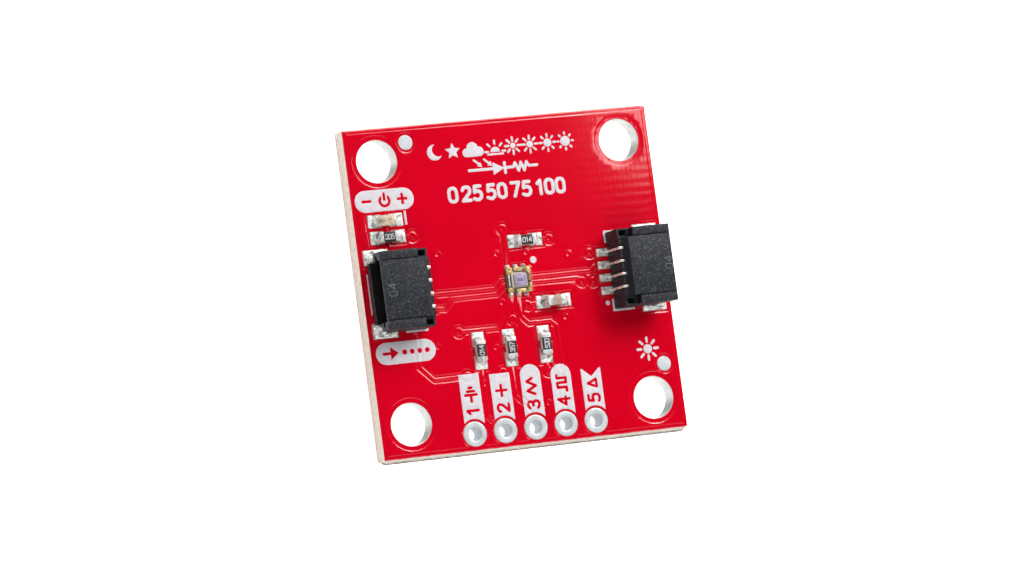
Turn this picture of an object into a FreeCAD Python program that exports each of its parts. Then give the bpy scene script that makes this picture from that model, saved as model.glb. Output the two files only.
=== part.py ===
import FreeCAD, Part
import os
import re
import math
import Sketcher
from FreeCAD import Vector as V, Placement, Rotation

# Light sensor breakout board, millimetres.
# Row frame: origin at the centre of the board on its underside, +Z up through the
# component side, +X along the line that joins the two wire sockets (towards the right
# socket), +Y from the header holes towards the far edge.

doc = FreeCAD.newDocument("light_sensor_module")
sheet = doc.addObject("Spreadsheet::Sheet", "Dims")

DIMS = [
    # board
    ("board_w", 25.4), ("board_d", 25.4), ("board_th", 1.6),
    ("foil_th", 0.035), ("mask_th", 0.03), ("print_th", 0.015),
    ("hole_pitch", 20.32), ("hole_r", 1.651), ("hole_open_r", 1.81),
    ("score_out", 0.14), ("web_front", 0.30), ("web_back", 0.17), ("score_z", 0.5),
    ("corner_r", 0.2),
    # header
    ("pin_pitch", 2.54), ("pin_y", -11.43), ("pin_hole_r", 0.508), ("pin_wall", 0.03),
    ("pin_pad_r", 0.94), ("pin_open_r", 0.99),
    # wire sockets, in the socket's own frame: x back from the mouth, z up from the board
    ("sock_front", 12.07), ("sock_w", 6.0), ("sock_h", 2.95), ("sock_len", 4.15),
    ("sock_core_w", 4.56), ("sock_wing_len", 3.12), ("sock_step_h", 2.2),
    ("mouth_w", 4.7), ("mouth_floor", 0.5), ("mouth_top", 2.7), ("mouth_len", 3.0),
    ("key_w", 5.44), ("key_low", 1.85), ("key_high", 2.2),
    ("slot_x", 3.6), ("slot_w", 0.34), ("slot_h", 2.5), ("notch_x", 3.86),
    ("pin_th", 0.2), ("contact_pitch", 1.0), ("contact_top", 2.45),
    ("riser_x", 4.03), ("riser_back", 4.23), ("foot_x", 4.87), ("tip_x", 0.9),
    ("tab_x0", -0.1), ("tab_x1", 1.7), ("tab_y0", 2.35), ("tab_y1", 3.06), ("tab_th", 0.2),
    ("tab_up_x0", 0.12), ("tab_up_x1", 1.45), ("tab_up_y0", 2.6), ("tab_up_y1", 2.78),
    ("tab_up_h", 1.4), ("tab_bay_x", 0.75),
    # light sensor
    ("sensor_x", 0.05), ("sensor_l", 2.0), ("sensor_h", 0.85), ("frame_th", 0.22),
    ("die_l", 0.95), ("die_h", 0.2), ("lead_pitch", 0.65),
    # chip parts
    ("chip_l", 1.6), ("chip_w", 0.8), ("chip_h", 0.45), ("end_l", 0.32), ("end_th", 0.02),
    ("coat_l", 0.96), ("coat_th", 0.02), ("cap_h", 0.8), ("cap_end_l", 0.46),
    ("led_base_h", 0.25), ("led_h", 0.6), ("led_lens_l", 1.4), ("led_end_l", 0.13),
    ("pad_in", 0.32), ("pad_out", 1.44), ("pad_w", 1.0),
]
D = {}
for i, (alias, value) in enumerate(DIMS):
    cell = "A%d" % (i + 1)
    sheet.set(cell, repr(value))
    sheet.setAlias(cell, alias)
    D[alias] = value
doc.recompute()

WORD = re.compile(r"[A-Za-z_][A-Za-z_0-9]*")


def ex(expression):
    """An expression on the sheet's cells, written with bare aliases."""
    return WORD.sub(lambda m: "Dims." + m.group(0) if m.group(0) in D else m.group(0),
                    expression)


def num(expression):
    """The same expression as a number."""
    if isinstance(expression, (int, float)):
        return float(expression)
    total = 0.0
    # sums and differences of products and quotients of aliases and numbers
    for sign, term in re.findall(r"([+-]?)\s*([^+-]+)", expression.replace(" ", "")):
        value = None
        op = "*"
        for piece in re.split(r"([*/])", term):
            if piece in "*/":
                op = piece
                continue
            x = D[piece] if piece in D else float(piece)
            value = x if value is None else (value * x if op == "*" else value / x)
        total += -value if sign == "-" else value
    return total


def bind(obj, prop, expression):
    """Set a size or a coordinate from the sheet, or from a plain number."""
    if isinstance(expression, str):
        obj.setExpression(prop, ex(expression))
    elif prop.startswith("Placement"):
        place_now = obj.Placement
        base = V(place_now.Base)
        setattr(base, prop.split(".")[-1], float(expression))
        place_now.Base = base
        obj.Placement = place_now
    else:
        setattr(obj, prop, float(expression))


PARTS = []


def node(obj, label):
    obj.Label = label
    PARTS.append((obj, label))
    return obj


def box(name, x0, y0, z0, lx, ly, lz):
    b = doc.addObject("Part::Box", name)
    for prop, e in (("Length", lx), ("Width", ly), ("Height", lz),
                    ("Placement.Base.x", x0), ("Placement.Base.y", y0),
                    ("Placement.Base.z", z0)):
        bind(b, prop, e)
    return b


def cyl(name, x, y, z, r, h):
    c = doc.addObject("Part::Cylinder", name)
    for prop, e in (("Radius", r), ("Height", h), ("Placement.Base.x", x),
                    ("Placement.Base.y", y), ("Placement.Base.z", z)):
        bind(c, prop, e)
    return c


def fuse(name, objs):
    f = doc.addObject("Part::MultiFuse", name)
    f.Shapes = objs
    f.Refine = True
    return f


def cut(name, base, tool):
    c = doc.addObject("Part::Cut", name)
    c.Base = base
    c.Tool = tool
    c.Refine = True
    return c


def group(name, objs):
    g = doc.addObject("Part::Compound", name)
    g.Links = objs
    return g


def plane_of(body, role):
    return [f for f in body.Origin.OriginFeatures if f.Role == role][0]


def poly_sketch(body, name, role, pts):
    """A closed outline whose corners are dimensioned from the sketch's origin."""
    sk = body.newObject("Sketcher::SketchObject", name)
    sk.AttachmentSupport = [(plane_of(body, role), "")]
    sk.MapMode = "FlatFace"
    q = [(num(a), num(b)) for a, b in pts]
    n = len(q)
    for i in range(n):
        a, b = q[i], q[(i + 1) % n]
        sk.addGeometry(Part.LineSegment(V(a[0], a[1], 0), V(b[0], b[1], 0)))
    for i in range(n):
        sk.addConstraint(Sketcher.Constraint("Coincident", i, 2, (i + 1) % n, 1))
    for i in range(n):
        for kind, val, e in (("DistanceX", q[i][0], pts[i][0]),
                             ("DistanceY", q[i][1], pts[i][1])):
            k = sk.addConstraint(Sketcher.Constraint(kind, -1, 1, i, 1, val))
            if isinstance(e, str) and WORD.search(e):
                sk.setExpression("Constraints[%d]" % k, ex(e))
    return sk


def circle_sketch(body, name, role, circles):
    """Circles given as (x, y, r), dimensioned from the sketch's origin."""
    sk = body.newObject("Sketcher::SketchObject", name)
    sk.AttachmentSupport = [(plane_of(body, role), "")]
    sk.MapMode = "FlatFace"
    for i, (x, y, r) in enumerate(circles):
        sk.addGeometry(Part.Circle(V(num(x), num(y), 0), V(0, 0, 1), num(r)))
        for kind, e in (("DistanceX", x), ("DistanceY", y)):
            k = sk.addConstraint(Sketcher.Constraint(kind, -1, 1, i, 3, num(e)))
            if isinstance(e, str) and WORD.search(e):
                sk.setExpression("Constraints[%d]" % k, ex(e))
        k = sk.addConstraint(Sketcher.Constraint("Radius", i, num(r)))
        if isinstance(r, str):
            sk.setExpression("Constraints[%d]" % k, ex(r))
    return sk


# ---------------------------------------------------------------- board laminate
# The profile across Y: two scored and snapped edges whose middle web stands proud,
# run straight along X, where the ends are routed square.
lam_low = "foil_th + mask_th"
lam_top = "board_th - foil_th - mask_th"
body = doc.addObject("PartDesign::Body", "Laminate")
profile = poly_sketch(body, "LaminateProfile", "YZ_Plane", [
    ("-board_d/2", lam_low),
    ("-board_d/2 - score_out", "score_z"),
    ("-board_d/2 - web_front", "score_z + 0.06"),
    ("-board_d/2 - web_front", "board_th - score_z - 0.1"),
    ("-board_d/2 - score_out", "board_th - score_z"),
    ("-board_d/2", lam_top),
    ("board_d/2", lam_top),
    ("board_d/2 + score_out", "board_th - score_z"),
    ("board_d/2 + web_back", "board_th - score_z - 0.15"),
    ("board_d/2 + web_back", "score_z + 0.1"),
    ("board_d/2 + score_out", "score_z"),
    ("board_d/2", lam_low),
])
pad = body.newObject("PartDesign::Pad", "LaminatePad")
pad.Profile = profile
pad.SideType = "Symmetric"
pad.setExpression("Length", ex("board_w"))
doc.recompute()
full_volume = body.Shape.Volume
holes = circle_sketch(body, "MountingHoleCentres", "XY_Plane",
                      [("%shole_pitch/2" % sx, "%shole_pitch/2" % sy, "hole_r")
                       for sx in ("-", "") for sy in ("-", "")])
pocket = body.newObject("PartDesign::Pocket", "MountingHoles")
pocket.Profile = holes
pocket.Type = "ThroughAll"
pocket.SideType = "Symmetric"
px = ("-2*pin_pitch", "-1*pin_pitch", 0.0, "pin_pitch", "2*pin_pitch")
pins = circle_sketch(body, "HeaderHoleCentres", "XY_Plane",
                     [(px[k], "pin_y", "pin_hole_r + pin_wall") for k in range(5)])
pocket2 = body.newObject("PartDesign::Pocket", "HeaderHoles")
pocket2.Profile = pins
pocket2.Type = "ThroughAll"
pocket2.SideType = "Symmetric"
body.Tip = pocket2
doc.recompute()
height = D["board_th"] - 2 * (D["foil_th"] + D["mask_th"])
removed = full_volume - body.Shape.Volume
expected = math.pi * height * (4 * D["hole_r"] ** 2 + 5 * (D["pin_hole_r"] + D["pin_wall"]) ** 2)
assert abs(removed - expected) < 0.01, (removed, expected)
node(body, "laminate")

# ---------------------------------------------------------------- foil pattern
# Board-plane layout, millimetres: pads, vias and traces of the component side.
CHIPS = {
    # name: (x, y, direction of the length)
    "led": (-10.12, 5.57, "x"),
    "resistor_1": (-10.08, 4.28, "x"),
    "resistor_2": (1.15, 3.04, "x"),
    "resistor_3": (-3.81, -5.12, "y"),
    "resistor_4": (-1.27, -5.12, "y"),
    "resistor_5": (1.65, -5.12, "y"),
    "capacitor": (2.86, -1.86, "x"),
}
RING_VIAS = [(-8.05, 4.2), (-0.6, 4.1), (3.15, 3.0), (6.4, 1.6), (5.45, -0.55), (6.4, -0.65),
             (0.65, -1.95), (-0.72, -2.98), (-5.3, -3.5), (1.65, -7.2), (-5.1, -6.95),
             (-2.1, -6.95)]
POUR_VIAS = [(-6.25, 2.6), (-1.4, 2.2), (1.05, 2.1), (4.6, 1.65), (-1.45, -1.6), (3.65, -3.2),
             (-2.45, -5.0), (1.3, -9.7), (-7.2, -4.5)]
TRACES = [
    [(-7.6, -0.5), (-7.0, -0.45), (-1.91, -0.45), (-1.29, 0.17), (6.25, 0.17), (6.6, 0.5), (7.4, 0.5)],
    [(-7.6, -1.5), (-6.2, -1.62), (-5.5, -0.88), (-1.77, -0.88), (-1.14, -0.25), (5.1, -0.25),
     (5.45, -0.55)],
    [(-0.6, 4.1), (-0.6, 1.1)],
    [(0.0, -1.1), (0.0, -2.75), (0.6, -3.35), (2.4, -3.35), (2.86, -3.8), (2.86, -6.9),
     (2.54, -7.25), (2.54, -11.0)],
    [(-5.3, -3.5), (-2.05, -3.5), (-0.6, -2.05), (-0.6, -1.1)],
    [(-8.85, -3.6), (-8.85, -5.9), (-7.8, -6.97), (-5.1, -6.95)],
    [(-3.81, -6.0), (-3.78, -10.2), (-2.54, -11.43)],
    [(-1.27, -6.0), (-1.27, -8.85), (0.0, -10.1), (0.0, -11.43)],
    [(1.65, -6.0), (1.65, -7.2)],
    [(-9.0, 4.25), (-8.05, 4.2)],
    [(2.3, 3.04), (3.15, 3.0)],
    [(0.65, -1.95), (1.6, -1.86)],
]
TRACE_W = 0.2
GAP = 0.2
VIA_R = 0.3
ROWS = (1.5, 0.5, -0.5, -1.5)


def rect(x0, y0, x1, y1, z0, z1):
    return Part.makeBox(x1 - x0, y1 - y0, z1 - z0, V(x0, y0, z0))


def disc(x, y, r, z0, z1):
    return Part.makeCylinder(r, z1 - z0, V(x, y, z0))


def strip(path, w, z0, z1):
    """A track of width w along straight runs, with round corners."""
    out = []
    for (x0, y0), (x1, y1) in zip(path, path[1:]):
        length = math.hypot(x1 - x0, y1 - y0)
        b = Part.makeBox(length, w, z1 - z0, V(0, -w / 2, z0))
        b.Placement = Placement(V(x0, y0, 0), Rotation(V(0, 0, 1),
                                math.degrees(math.atan2(y1 - y0, x1 - x0))))
        out.append(b)
    for x, y in path:
        out.append(disc(x, y, w / 2, z0, z1))
    return out


def union(shapes):
    s = shapes[0].multiFuse(shapes[1:]) if len(shapes) > 1 else shapes[0]
    return s.removeSplitter()


def chip_pads(grow, z0, z1):
    out = []
    for x, y, way in CHIPS.values():
        for s in (-1, 1):
            a, b = sorted((s * D["pad_in"], s * D["pad_out"]))
            w = D["pad_w"] / 2
            if way == "x":
                out.append(rect(x + a - grow, y - w - grow, x + b + grow, y + w + grow, z0, z1))
            else:
                out.append(rect(x - w - grow, y + a - grow, x + w + grow, y + b + grow, z0, z1))
    return out


def socket_pads(grow, z0, z1, only=None):
    out = []
    for s in (-1, 1):
        for row in ROWS:
            if only in (None, "signal"):
                a, b = sorted((s * 6.98, s * 8.4))
                out.append(rect(a - grow, row - 0.3 - grow, b + grow, row + 0.3 + grow, z0, z1))
        for t in (-1, 1):
            if only in (None, "tab"):
                a, b = sorted((s * 10.25, s * 12.3))
                c, d = sorted((t * 2.22, t * 3.42))
                out.append(rect(a - grow, c - grow, b + grow, d + grow, z0, z1))
    return out


def sensor_pads(grow, z0, z1):
    out = []
    for k in (-1, 0, 1):
        for t in (-1, 1):
            x = D["sensor_x"] + k * D["lead_pitch"]
            c, d = sorted((t * 0.72, t * 1.24))
            out.append(rect(x - 0.19 - grow, c - grow, x + 0.19 + grow, d + grow, z0, z1))
    return out


FIDUCIALS = [(-7.62, 11.43), (11.43, -7.62)]
PINS = [((k - 2) * D["pin_pitch"], D["pin_y"]) for k in range(5)]
HOLES = [(sx * D["hole_pitch"] / 2, sy * D["hole_pitch"] / 2) for sx in (-1, 1)
         for sy in (-1, 1)]

z_foil0 = D["board_th"] - D["mask_th"] - D["foil_th"]
z_foil1 = D["board_th"] - D["mask_th"]
inset = 0.3
e = D["board_w"] / 2

pour = rect(-e + inset, -e + inset, e - inset, e - inset, z_foil0, z_foil1)
clear = []
clear += [disc(x, y, D["hole_r"] + 0.38, z_foil0 - 1, z_foil1 + 1) for x, y in HOLES]
clear += [disc(x, y, D["pin_pad_r"] + GAP, z_foil0 - 1, z_foil1 + 1) for x, y in PINS]
clear += [disc(x, y, 0.8, z_foil0 - 1, z_foil1 + 1) for x, y in FIDUCIALS]
clear += [disc(x, y, VIA_R + GAP + 0.05, z_foil0 - 1, z_foil1 + 1) for x, y in RING_VIAS]
for t in TRACES:
    clear += strip(t, TRACE_W + 2 * GAP, z_foil0 - 1, z_foil1 + 1)
clear += chip_pads(GAP, z_foil0 - 1, z_foil1 + 1)
clear += socket_pads(GAP, z_foil0 - 1, z_foil1 + 1)
clear += sensor_pads(0.15, z_foil0 - 1, z_foil1 + 1)
pour = pour.cut(union(clear))

islands = []
islands += [disc(x, y, VIA_R, z_foil0, z_foil1) for x, y in RING_VIAS]
for t in TRACES:
    islands += strip(t, TRACE_W, z_foil0, z_foil1)
islands += chip_pads(0.0, z_foil0, z_foil1)
islands += socket_pads(0.0, z_foil0, z_foil1)
islands += sensor_pads(0.0, z_foil0, z_foil1)
islands += [disc(x, y, 0.56, z_foil0, z_foil1) for x, y in FIDUCIALS]
foil = union([pour] + islands)
pin_bores = union([disc(x, y, D["pin_pad_r"] + 0.001, z_foil0 - 1, z_foil1 + 1)
                   for x, y in PINS])
foil = foil.cut(pin_bores)
foil = foil.common(rect(-e + inset, -e + inset, e - inset, e - inset, z_foil0, z_foil1))
foil_solids = [s for s in foil.Solids if s.Volume > 1e-6]
f = doc.addObject("Part::Feature", "FoilTop")
f.Shape = Part.makeCompound(foil_solids)
node(f, "copper_top")

# The mask fills the grooves of the foil and covers it, open at pads and holes.
m_out = 0.03
mask = rect(-e, -e, e, e, z_foil0, D["board_th"])
openings = [disc(x, y, D["hole_open_r"], z_foil0 - 1, z_foil1 + 1) for x, y in HOLES]
openings += [disc(x, y, D["pin_open_r"], z_foil0 - 1, z_foil1 + 1) for x, y in PINS]
openings += [disc(x, y, 0.6, z_foil0 - 1, z_foil1 + 1) for x, y in FIDUCIALS]
openings += chip_pads(m_out, z_foil0 - 1, z_foil1 + 1)
openings += socket_pads(m_out, z_foil0 - 1, z_foil1 + 1)
openings += sensor_pads(m_out, z_foil0 - 1, z_foil1 + 1)
mask = mask.cut(union(openings)).cut(foil)
solids = sorted(mask.Solids, key=lambda s: -s.Volume)
m = doc.addObject("Part::Feature", "MaskTop")
m.Shape = solids[0]
node(m, "mask_top")

# ---------------------------------------------------------------- underside
plate = box("FoilBottomPlate", "0.3 - board_w/2", "0.3 - board_w/2", "mask_th",
            "board_w - 0.6", "board_w - 0.6", "foil_th")
tools = []
for i, (sx, sy) in enumerate((("-", "-"), ("-", ""), ("", "-"), ("", ""))):
    tools.append(cyl("FoilBottomHole%d" % i, "%shole_pitch/2" % sx, "%shole_pitch/2" % sy,
                     -1.0, "hole_r + 0.38", 3.0))
for i in range(5):
    tools.append(cyl("FoilBottomPin%d" % i, px[i], "pin_y", -1.0, "pin_pad_r + 0.2", 3.0))
node(cut("FoilBottom", plate, fuse("FoilBottomClear", tools)), "copper_bottom")

plate = box("MaskBottomPlate", "-board_w/2", "-board_w/2", 0.0, "board_w", "board_w",
            "foil_th + mask_th")
inner = box("MaskBottomFoil", "0.3 - board_w/2", "0.3 - board_w/2", "mask_th",
            "board_w - 0.6", "board_w - 0.6", "foil_th")
tools = []
for i, (sx, sy) in enumerate((("-", "-"), ("-", ""), ("", "-"), ("", ""))):
    tools.append(cyl("FoilKeep%d" % i, "%shole_pitch/2" % sx, "%shole_pitch/2" % sy,
                     -1.0, "hole_r + 0.38", 3.0))
for i in range(5):
    tools.append(cyl("FoilKeepPin%d" % i, px[i], "pin_y", -1.0, "pin_pad_r + 0.2", 3.0))
inner = cut("MaskBottomFoilShape", inner, fuse("FoilKeep", tools))
tools = [inner]
for i, (sx, sy) in enumerate((("-", "-"), ("-", ""), ("", "-"), ("", ""))):
    tools.append(cyl("MaskBottomHole%d" % i, "%shole_pitch/2" % sx, "%shole_pitch/2" % sy,
                     -1.0, "hole_open_r", 3.0))
for i in range(5):
    tools.append(cyl("MaskBottomPin%d" % i, px[i], "pin_y", -1.0, "pin_open_r", 3.0))
node(cut("MaskBottom", plate, fuse("MaskBottomClear", tools)), "mask_bottom")

# ---------------------------------------------------------------- plated header holes
for i in range(5):
    b = doc.addObject("PartDesign::Body", "Plating%d" % (i + 1))
    sk = poly_sketch(b, "PlatingProfile%d" % (i + 1), "XZ_Plane", [
        ("pin_hole_r", "mask_th"),
        ("pin_pad_r", "mask_th"),
        ("pin_pad_r", "mask_th + foil_th"),
        ("pin_hole_r + pin_wall", "mask_th + foil_th"),
        ("pin_hole_r + pin_wall", "board_th - mask_th - foil_th"),
        ("pin_pad_r", "board_th - mask_th - foil_th"),
        ("pin_pad_r", "board_th - mask_th"),
        ("pin_pad_r - 0.12", "board_th - 0.002"),
        ("pin_hole_r + 0.1", "board_th - 0.002"),
        ("pin_hole_r", "board_th - mask_th"),
    ])
    rev = b.newObject("PartDesign::Revolution", "PlatingTurn%d" % (i + 1))
    rev.Profile = sk
    rev.ReferenceAxis = (sk, ["V_Axis"])
    rev.Angle = 360
    b.Tip = rev
    bind(b, "Placement.Base.x", px[i])
    bind(b, "Placement.Base.y", "pin_y")
    node(b, "header_plating_%d" % (i + 1))
discs = [cyl("FiducialDisc%d" % k, x, y, "board_th - mask_th", 0.55, "mask_th - 0.004")
         for k, (x, y) in enumerate(FIDUCIALS)]
node(group("FiducialTin", discs), "fiducial_tin")
doc.recompute()


# ---------------------------------------------------------------- wire sockets
def place(obj, side):
    """Sockets face outwards: the left one opens to -X, the right one is turned about Z."""
    obj.Placement = Placement(V(-D["sock_front"] * (1 if side == "left" else -1), 0,
                                D["board_th"]),
                              Rotation(V(0, 0, 1), 0 if side == "left" else 180))
    obj.setExpression("Placement.Base.x",
                      ex("-sock_front" if side == "left" else "sock_front"))
    obj.setExpression("Placement.Base.z", ex("board_th"))


def contact_profile():
    return [
        ("tip_x", "contact_top - 0.14"),
        ("tip_x + 0.25", "contact_top - pin_th"),
        ("riser_x", "contact_top - pin_th"),
        ("riser_x", 0.0),
        ("foot_x", 0.0),
        ("foot_x", "pin_th - 0.04"),
        ("riser_back + 0.12", "pin_th"),
        ("riser_back", "pin_th + 0.12"),
        ("riser_back", "contact_top - 0.1"),
        ("riser_back - 0.1", "contact_top"),
        ("tip_x + 0.25", "contact_top"),
        ("tip_x", "contact_top - 0.06"),
    ]


row_y = ("1.5*contact_pitch", "0.5*contact_pitch", "-0.5*contact_pitch",
         "-1.5*contact_pitch")

for side in ("left", "right"):
    t = side.capitalize()
    solid = fuse(t + "Blocks", [
        box(t + "Core", 0.0, "-sock_core_w/2", 0.0, "sock_len", "sock_core_w", "sock_h"),
        box(t + "Wings", 0.0, "-sock_w/2", 0.0, "sock_wing_len", "sock_w", "sock_h"),
        box(t + "Steps", 0.0, "-sock_w/2", 0.0, "sock_len", "sock_w", "sock_step_h"),
    ])
    tools = [
        box(t + "Mouth", -1.0, "-mouth_w/2", "mouth_floor", "mouth_len + 1", "mouth_w",
            "mouth_top - mouth_floor"),
        box(t + "Key", -1.0, "-key_w/2", "key_low", "mouth_len + 1", "key_w",
            "key_high - key_low"),
    ]
    # the rear of the roof steps down over a steep slope to a narrow ledge
    chamfer = doc.addObject("Part::Box", t + "RoofSlope")
    for prop, e_ in (("Length", 0.52), ("Width", 7.0), ("Height", 0.6)):
        setattr(chamfer, prop, e_)
    chamfer.Placement = Placement(V(D["sock_len"] - 0.6, -3.5, D["sock_h"]),
                                  Rotation(V(0, 1, 0), 45.0))
    chamfer.setExpression("Placement.Base.x", ex("sock_len - 0.6"))
    chamfer.setExpression("Placement.Base.z", ex("sock_h"))
    tools.append(chamfer)
    tools.append(box(t + "Ledge", "sock_len - 0.25", -3.5, "sock_h - 0.35", 1.0, 7.0, 1.0))
    # fine grooves where the core meets the wings
    for k, s in enumerate(("-", "")):
        tools.append(box(t + "Groove%d" % k, -1.0,
                         "-sock_core_w/2 - 0.06" if s == "-" else "sock_core_w/2",
                         "sock_h - 0.04", "sock_wing_len + 1", 0.06, 1.0))
    for i in range(4):
        tools.append(box(t + "Slot%d" % i, "slot_x", row_y[i] + " - slot_w/2", -1.0,
                         "sock_len - slot_x + 1", "slot_w", "slot_h + 1"))
        tools.append(box(t + "Notch%d" % i, "notch_x", row_y[i] + " - slot_w/2", "slot_h - 0.1",
                         "sock_len - notch_x + 1", "slot_w", 2.0))
        tools.append(box(t + "Pass%d" % i, "mouth_len - 0.1", row_y[i] + " - pin_th/2",
                         "contact_top - pin_th", "slot_x - mouth_len + 0.2", "pin_th",
                         "pin_th"))
    for k, s in enumerate(("-", "")):
        tools.append(box(t + "TabFoot%d" % k, -1.0,
                         "-sock_w/2 - 1" if s == "-" else "tab_y0", -1.0,
                         "tab_x1 + 1.02", "sock_w/2 + 1 - tab_y0", "tab_th + 1"))
        # the bay at the mouth's corner where the tab stands in the open
        tools.append(box(t + "TabBay%d" % k, -1.0,
                         "-sock_w/2 - 1" if s == "-" else "tab_y0", -1.0,
                         "tab_bay_x + 1", "sock_w/2 + 1 - tab_y0", "tab_up_h + 1"))
        tools.append(box(t + "TabUp%d" % k, "tab_up_x0",
                         "-tab_up_y1" if s == "-" else "tab_up_y0", 0.0,
                         "tab_up_x1 - tab_up_x0", "tab_up_y1 - tab_up_y0", "tab_up_h"))
        tools.append(box(t + "Hollow%d" % k, "sock_len - 0.8",
                         "-sock_w/2 + 0.14" if s == "-" else "sock_core_w/2 + 0.16",
                         "sock_step_h - 0.9", 0.6, 0.42, 2.0))
    housing = cut(t + "Housing", solid, fuse(t + "Hollows", tools))
    place(housing, side)
    node(housing, side + "_socket_housing")

    for i in range(4):
        n = i + 1
        b = doc.addObject("PartDesign::Body", t + "Contact%d" % n)
        sk = poly_sketch(b, t + "ContactProfile%d" % n, "XZ_Plane", contact_profile())
        p = b.newObject("PartDesign::Pad", t + "ContactPad%d" % n)
        p.Profile = sk
        p.SideType = "Symmetric"
        p.setExpression("Length", ex("pin_th"))
        b.Tip = p
        b.Placement = Placement(V(0, 0, 0), Rotation(V(0, 0, 1), 0 if side == "left" else 180))
        b.setExpression("Placement.Base.x",
                        ex("-sock_front" if side == "left" else "sock_front"))
        b.setExpression("Placement.Base.y", ex(row_y[i]))
        b.setExpression("Placement.Base.z", ex("board_th"))
        node(b, "%s_contact_%d" % (side, n))

    for k, s in enumerate(("lower", "upper")):
        neg = (s == "lower") == (side == "left")
        foot = box(t + "TabPlate" + s, "tab_x0", "-tab_y1" if neg else "tab_y0", 0.0,
                   "tab_x1 - tab_x0", "tab_y1 - tab_y0", "tab_th")
        up = box(t + "TabUpright" + s, "tab_up_x0", "-tab_up_y1" if neg else "tab_up_y0", 0.0,
                 "tab_up_x1 - tab_up_x0", "tab_up_y1 - tab_up_y0", "tab_up_h")
        tab = fuse(t + "Tab" + s, [foot, up])
        place(tab, side)
        node(tab, "%s_tab_%s" % (side, s))

# ---------------------------------------------------------------- light sensor
zb = "board_th"
xs = "sensor_x"
lead = []
for i, kx in enumerate(("sensor_x - lead_pitch", "sensor_x", "sensor_x + lead_pitch")):
    for j, y0 in enumerate(("0.62", "-1*sensor_l/2 - 0.02")):
        lead.append(box("Lead%d%d" % (i, j), kx + " - 0.2", y0, zb, 0.4, "sensor_l/2 - 0.6",
                        "frame_th"))
lead.append(box("DiePad", "sensor_x - 0.5", -0.56, zb, 1.2, 1.12, "frame_th"))
lead.append(box("FrameLeft", "sensor_x - 0.9", -0.9, zb, 0.14, 1.8, "frame_th"))
lead.append(box("FrameRight", "sensor_x + 0.82", -0.1, zb, 0.14, 1.0, "frame_th"))
frame = group("Leadframe", [fuse("LeadPieces", lead)])
node(frame, "sensor_leadframe")
die = box("Die", "sensor_x + 0.1 - die_l/2", "-die_l/2", zb + " + frame_th", "die_l", "die_l",
          "die_h")
node(die, "sensor_die")
block = box("WindowBlock", "sensor_x - sensor_l/2", "-sensor_l/2", zb, "sensor_l", "sensor_l",
            "sensor_h")
inner = fuse("WindowInner", [
    box("DieCopy", "sensor_x + 0.1 - die_l/2", "-die_l/2", zb + " + frame_th", "die_l",
        "die_l", "die_h"),
    frame])
node(cut("Window", block, inner), "sensor_window")


# ---------------------------------------------------------------- chip parts
def chip_place(obj, name):
    x, y, way = CHIPS[name]
    obj.Placement = Placement(V(x, y, D["board_th"]),
                              Rotation(V(0, 0, 1), 0 if way == "x" else 90))
    obj.setExpression("Placement.Base.z", ex("board_th"))
    return obj


def end_pair(name, length, width, height, end_len):
    """A pair of caps that wrap the ends of a chip, each an open-ended shell."""
    th = "end_th"
    out = []
    for k, s in enumerate(("-", "")):
        outer = box("%sCap%d" % (name, k),
                    "-%s/2" % length if s == "-" else "%s/2 - %s" % (length, end_len),
                    "-%s/2" % width, 0.0, end_len, width, height)
        hollow = box("%sCapIn%d" % (name, k),
                     ("-%s/2 + %s" % (length, th)) if s == "-" else
                     ("%s/2 - %s - 0.01" % (length, end_len)),
                     "-%s/2 + %s" % (width, th), th, "%s - %s + 0.01" % (end_len, th),
                     "%s - 2*%s" % (width, th), "%s - 2*%s" % (height, th))
        out.append(cut("%sCapShell%d" % (name, k), outer, hollow))
    return out


for n in range(1, 6):
    name = "resistor_%d" % n
    t = "R%d" % n
    core = box(t + "Core", "end_th - chip_l/2", "end_th - chip_w/2", "end_th",
               "chip_l - 2*end_th", "chip_w - 2*end_th", "chip_h - 2*end_th")
    holder = group(t + "Body", [core])
    node(chip_place(holder, name), name + "_body")
    coat = box(t + "CoatBox", "-coat_l/2", "0.02 - chip_w/2", "chip_h - end_th", "coat_l",
               "chip_w - 0.04", "coat_th")
    coat = group(t + "Coat", [coat])
    node(chip_place(coat, name), name + "_coat")
    ends = group(t + "Ends", end_pair(t, "chip_l", "chip_w", "chip_h", "end_l"))
    node(chip_place(ends, name), name + "_ends")

core = box("C1Core", "end_th - chip_l/2", "end_th - chip_w/2", "end_th",
           "chip_l - 2*end_th", "chip_w - 2*end_th", "cap_h - 2*end_th")
node(chip_place(group("C1Body", [core]), "capacitor"), "capacitor_body")
node(chip_place(group("C1Ends", end_pair("C1", "chip_l", "chip_w", "cap_h", "cap_end_l")),
                "capacitor"), "capacitor_ends")

base = box("LedBaseBox", "end_th - chip_l/2", "-chip_w/2", "end_th", "chip_l - 2*end_th",
           "chip_w", "led_base_h - 2*end_th")
node(chip_place(group("LedBase", [base]), "led"), "led_base")
ends = []
for k, s in enumerate(("-", "")):
    outer = box("LedEnd%d" % k, "-chip_l/2" if s == "-" else "chip_l/2 - led_end_l",
                "-chip_w/2", 0.0, "led_end_l", "chip_w", "led_base_h")
    inner = box("LedEndIn%d" % k,
                "end_th - chip_l/2" if s == "-" else "chip_l/2 - led_end_l - 0.01",
                "-chip_w/2 - 0.1", "end_th", "led_end_l - end_th + 0.01", "chip_w + 0.2",
                "led_base_h - 2*end_th")
    ends.append(cut("LedEndShell%d" % k, outer, inner))
node(chip_place(group("LedEnds", ends), "led"), "led_ends")
chip = box("LedChipBox", -0.25, -0.15, "led_base_h - end_th", 0.3, 0.3, 0.12)
node(chip_place(group("LedChip", [chip]), "led"), "led_chip")
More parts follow.
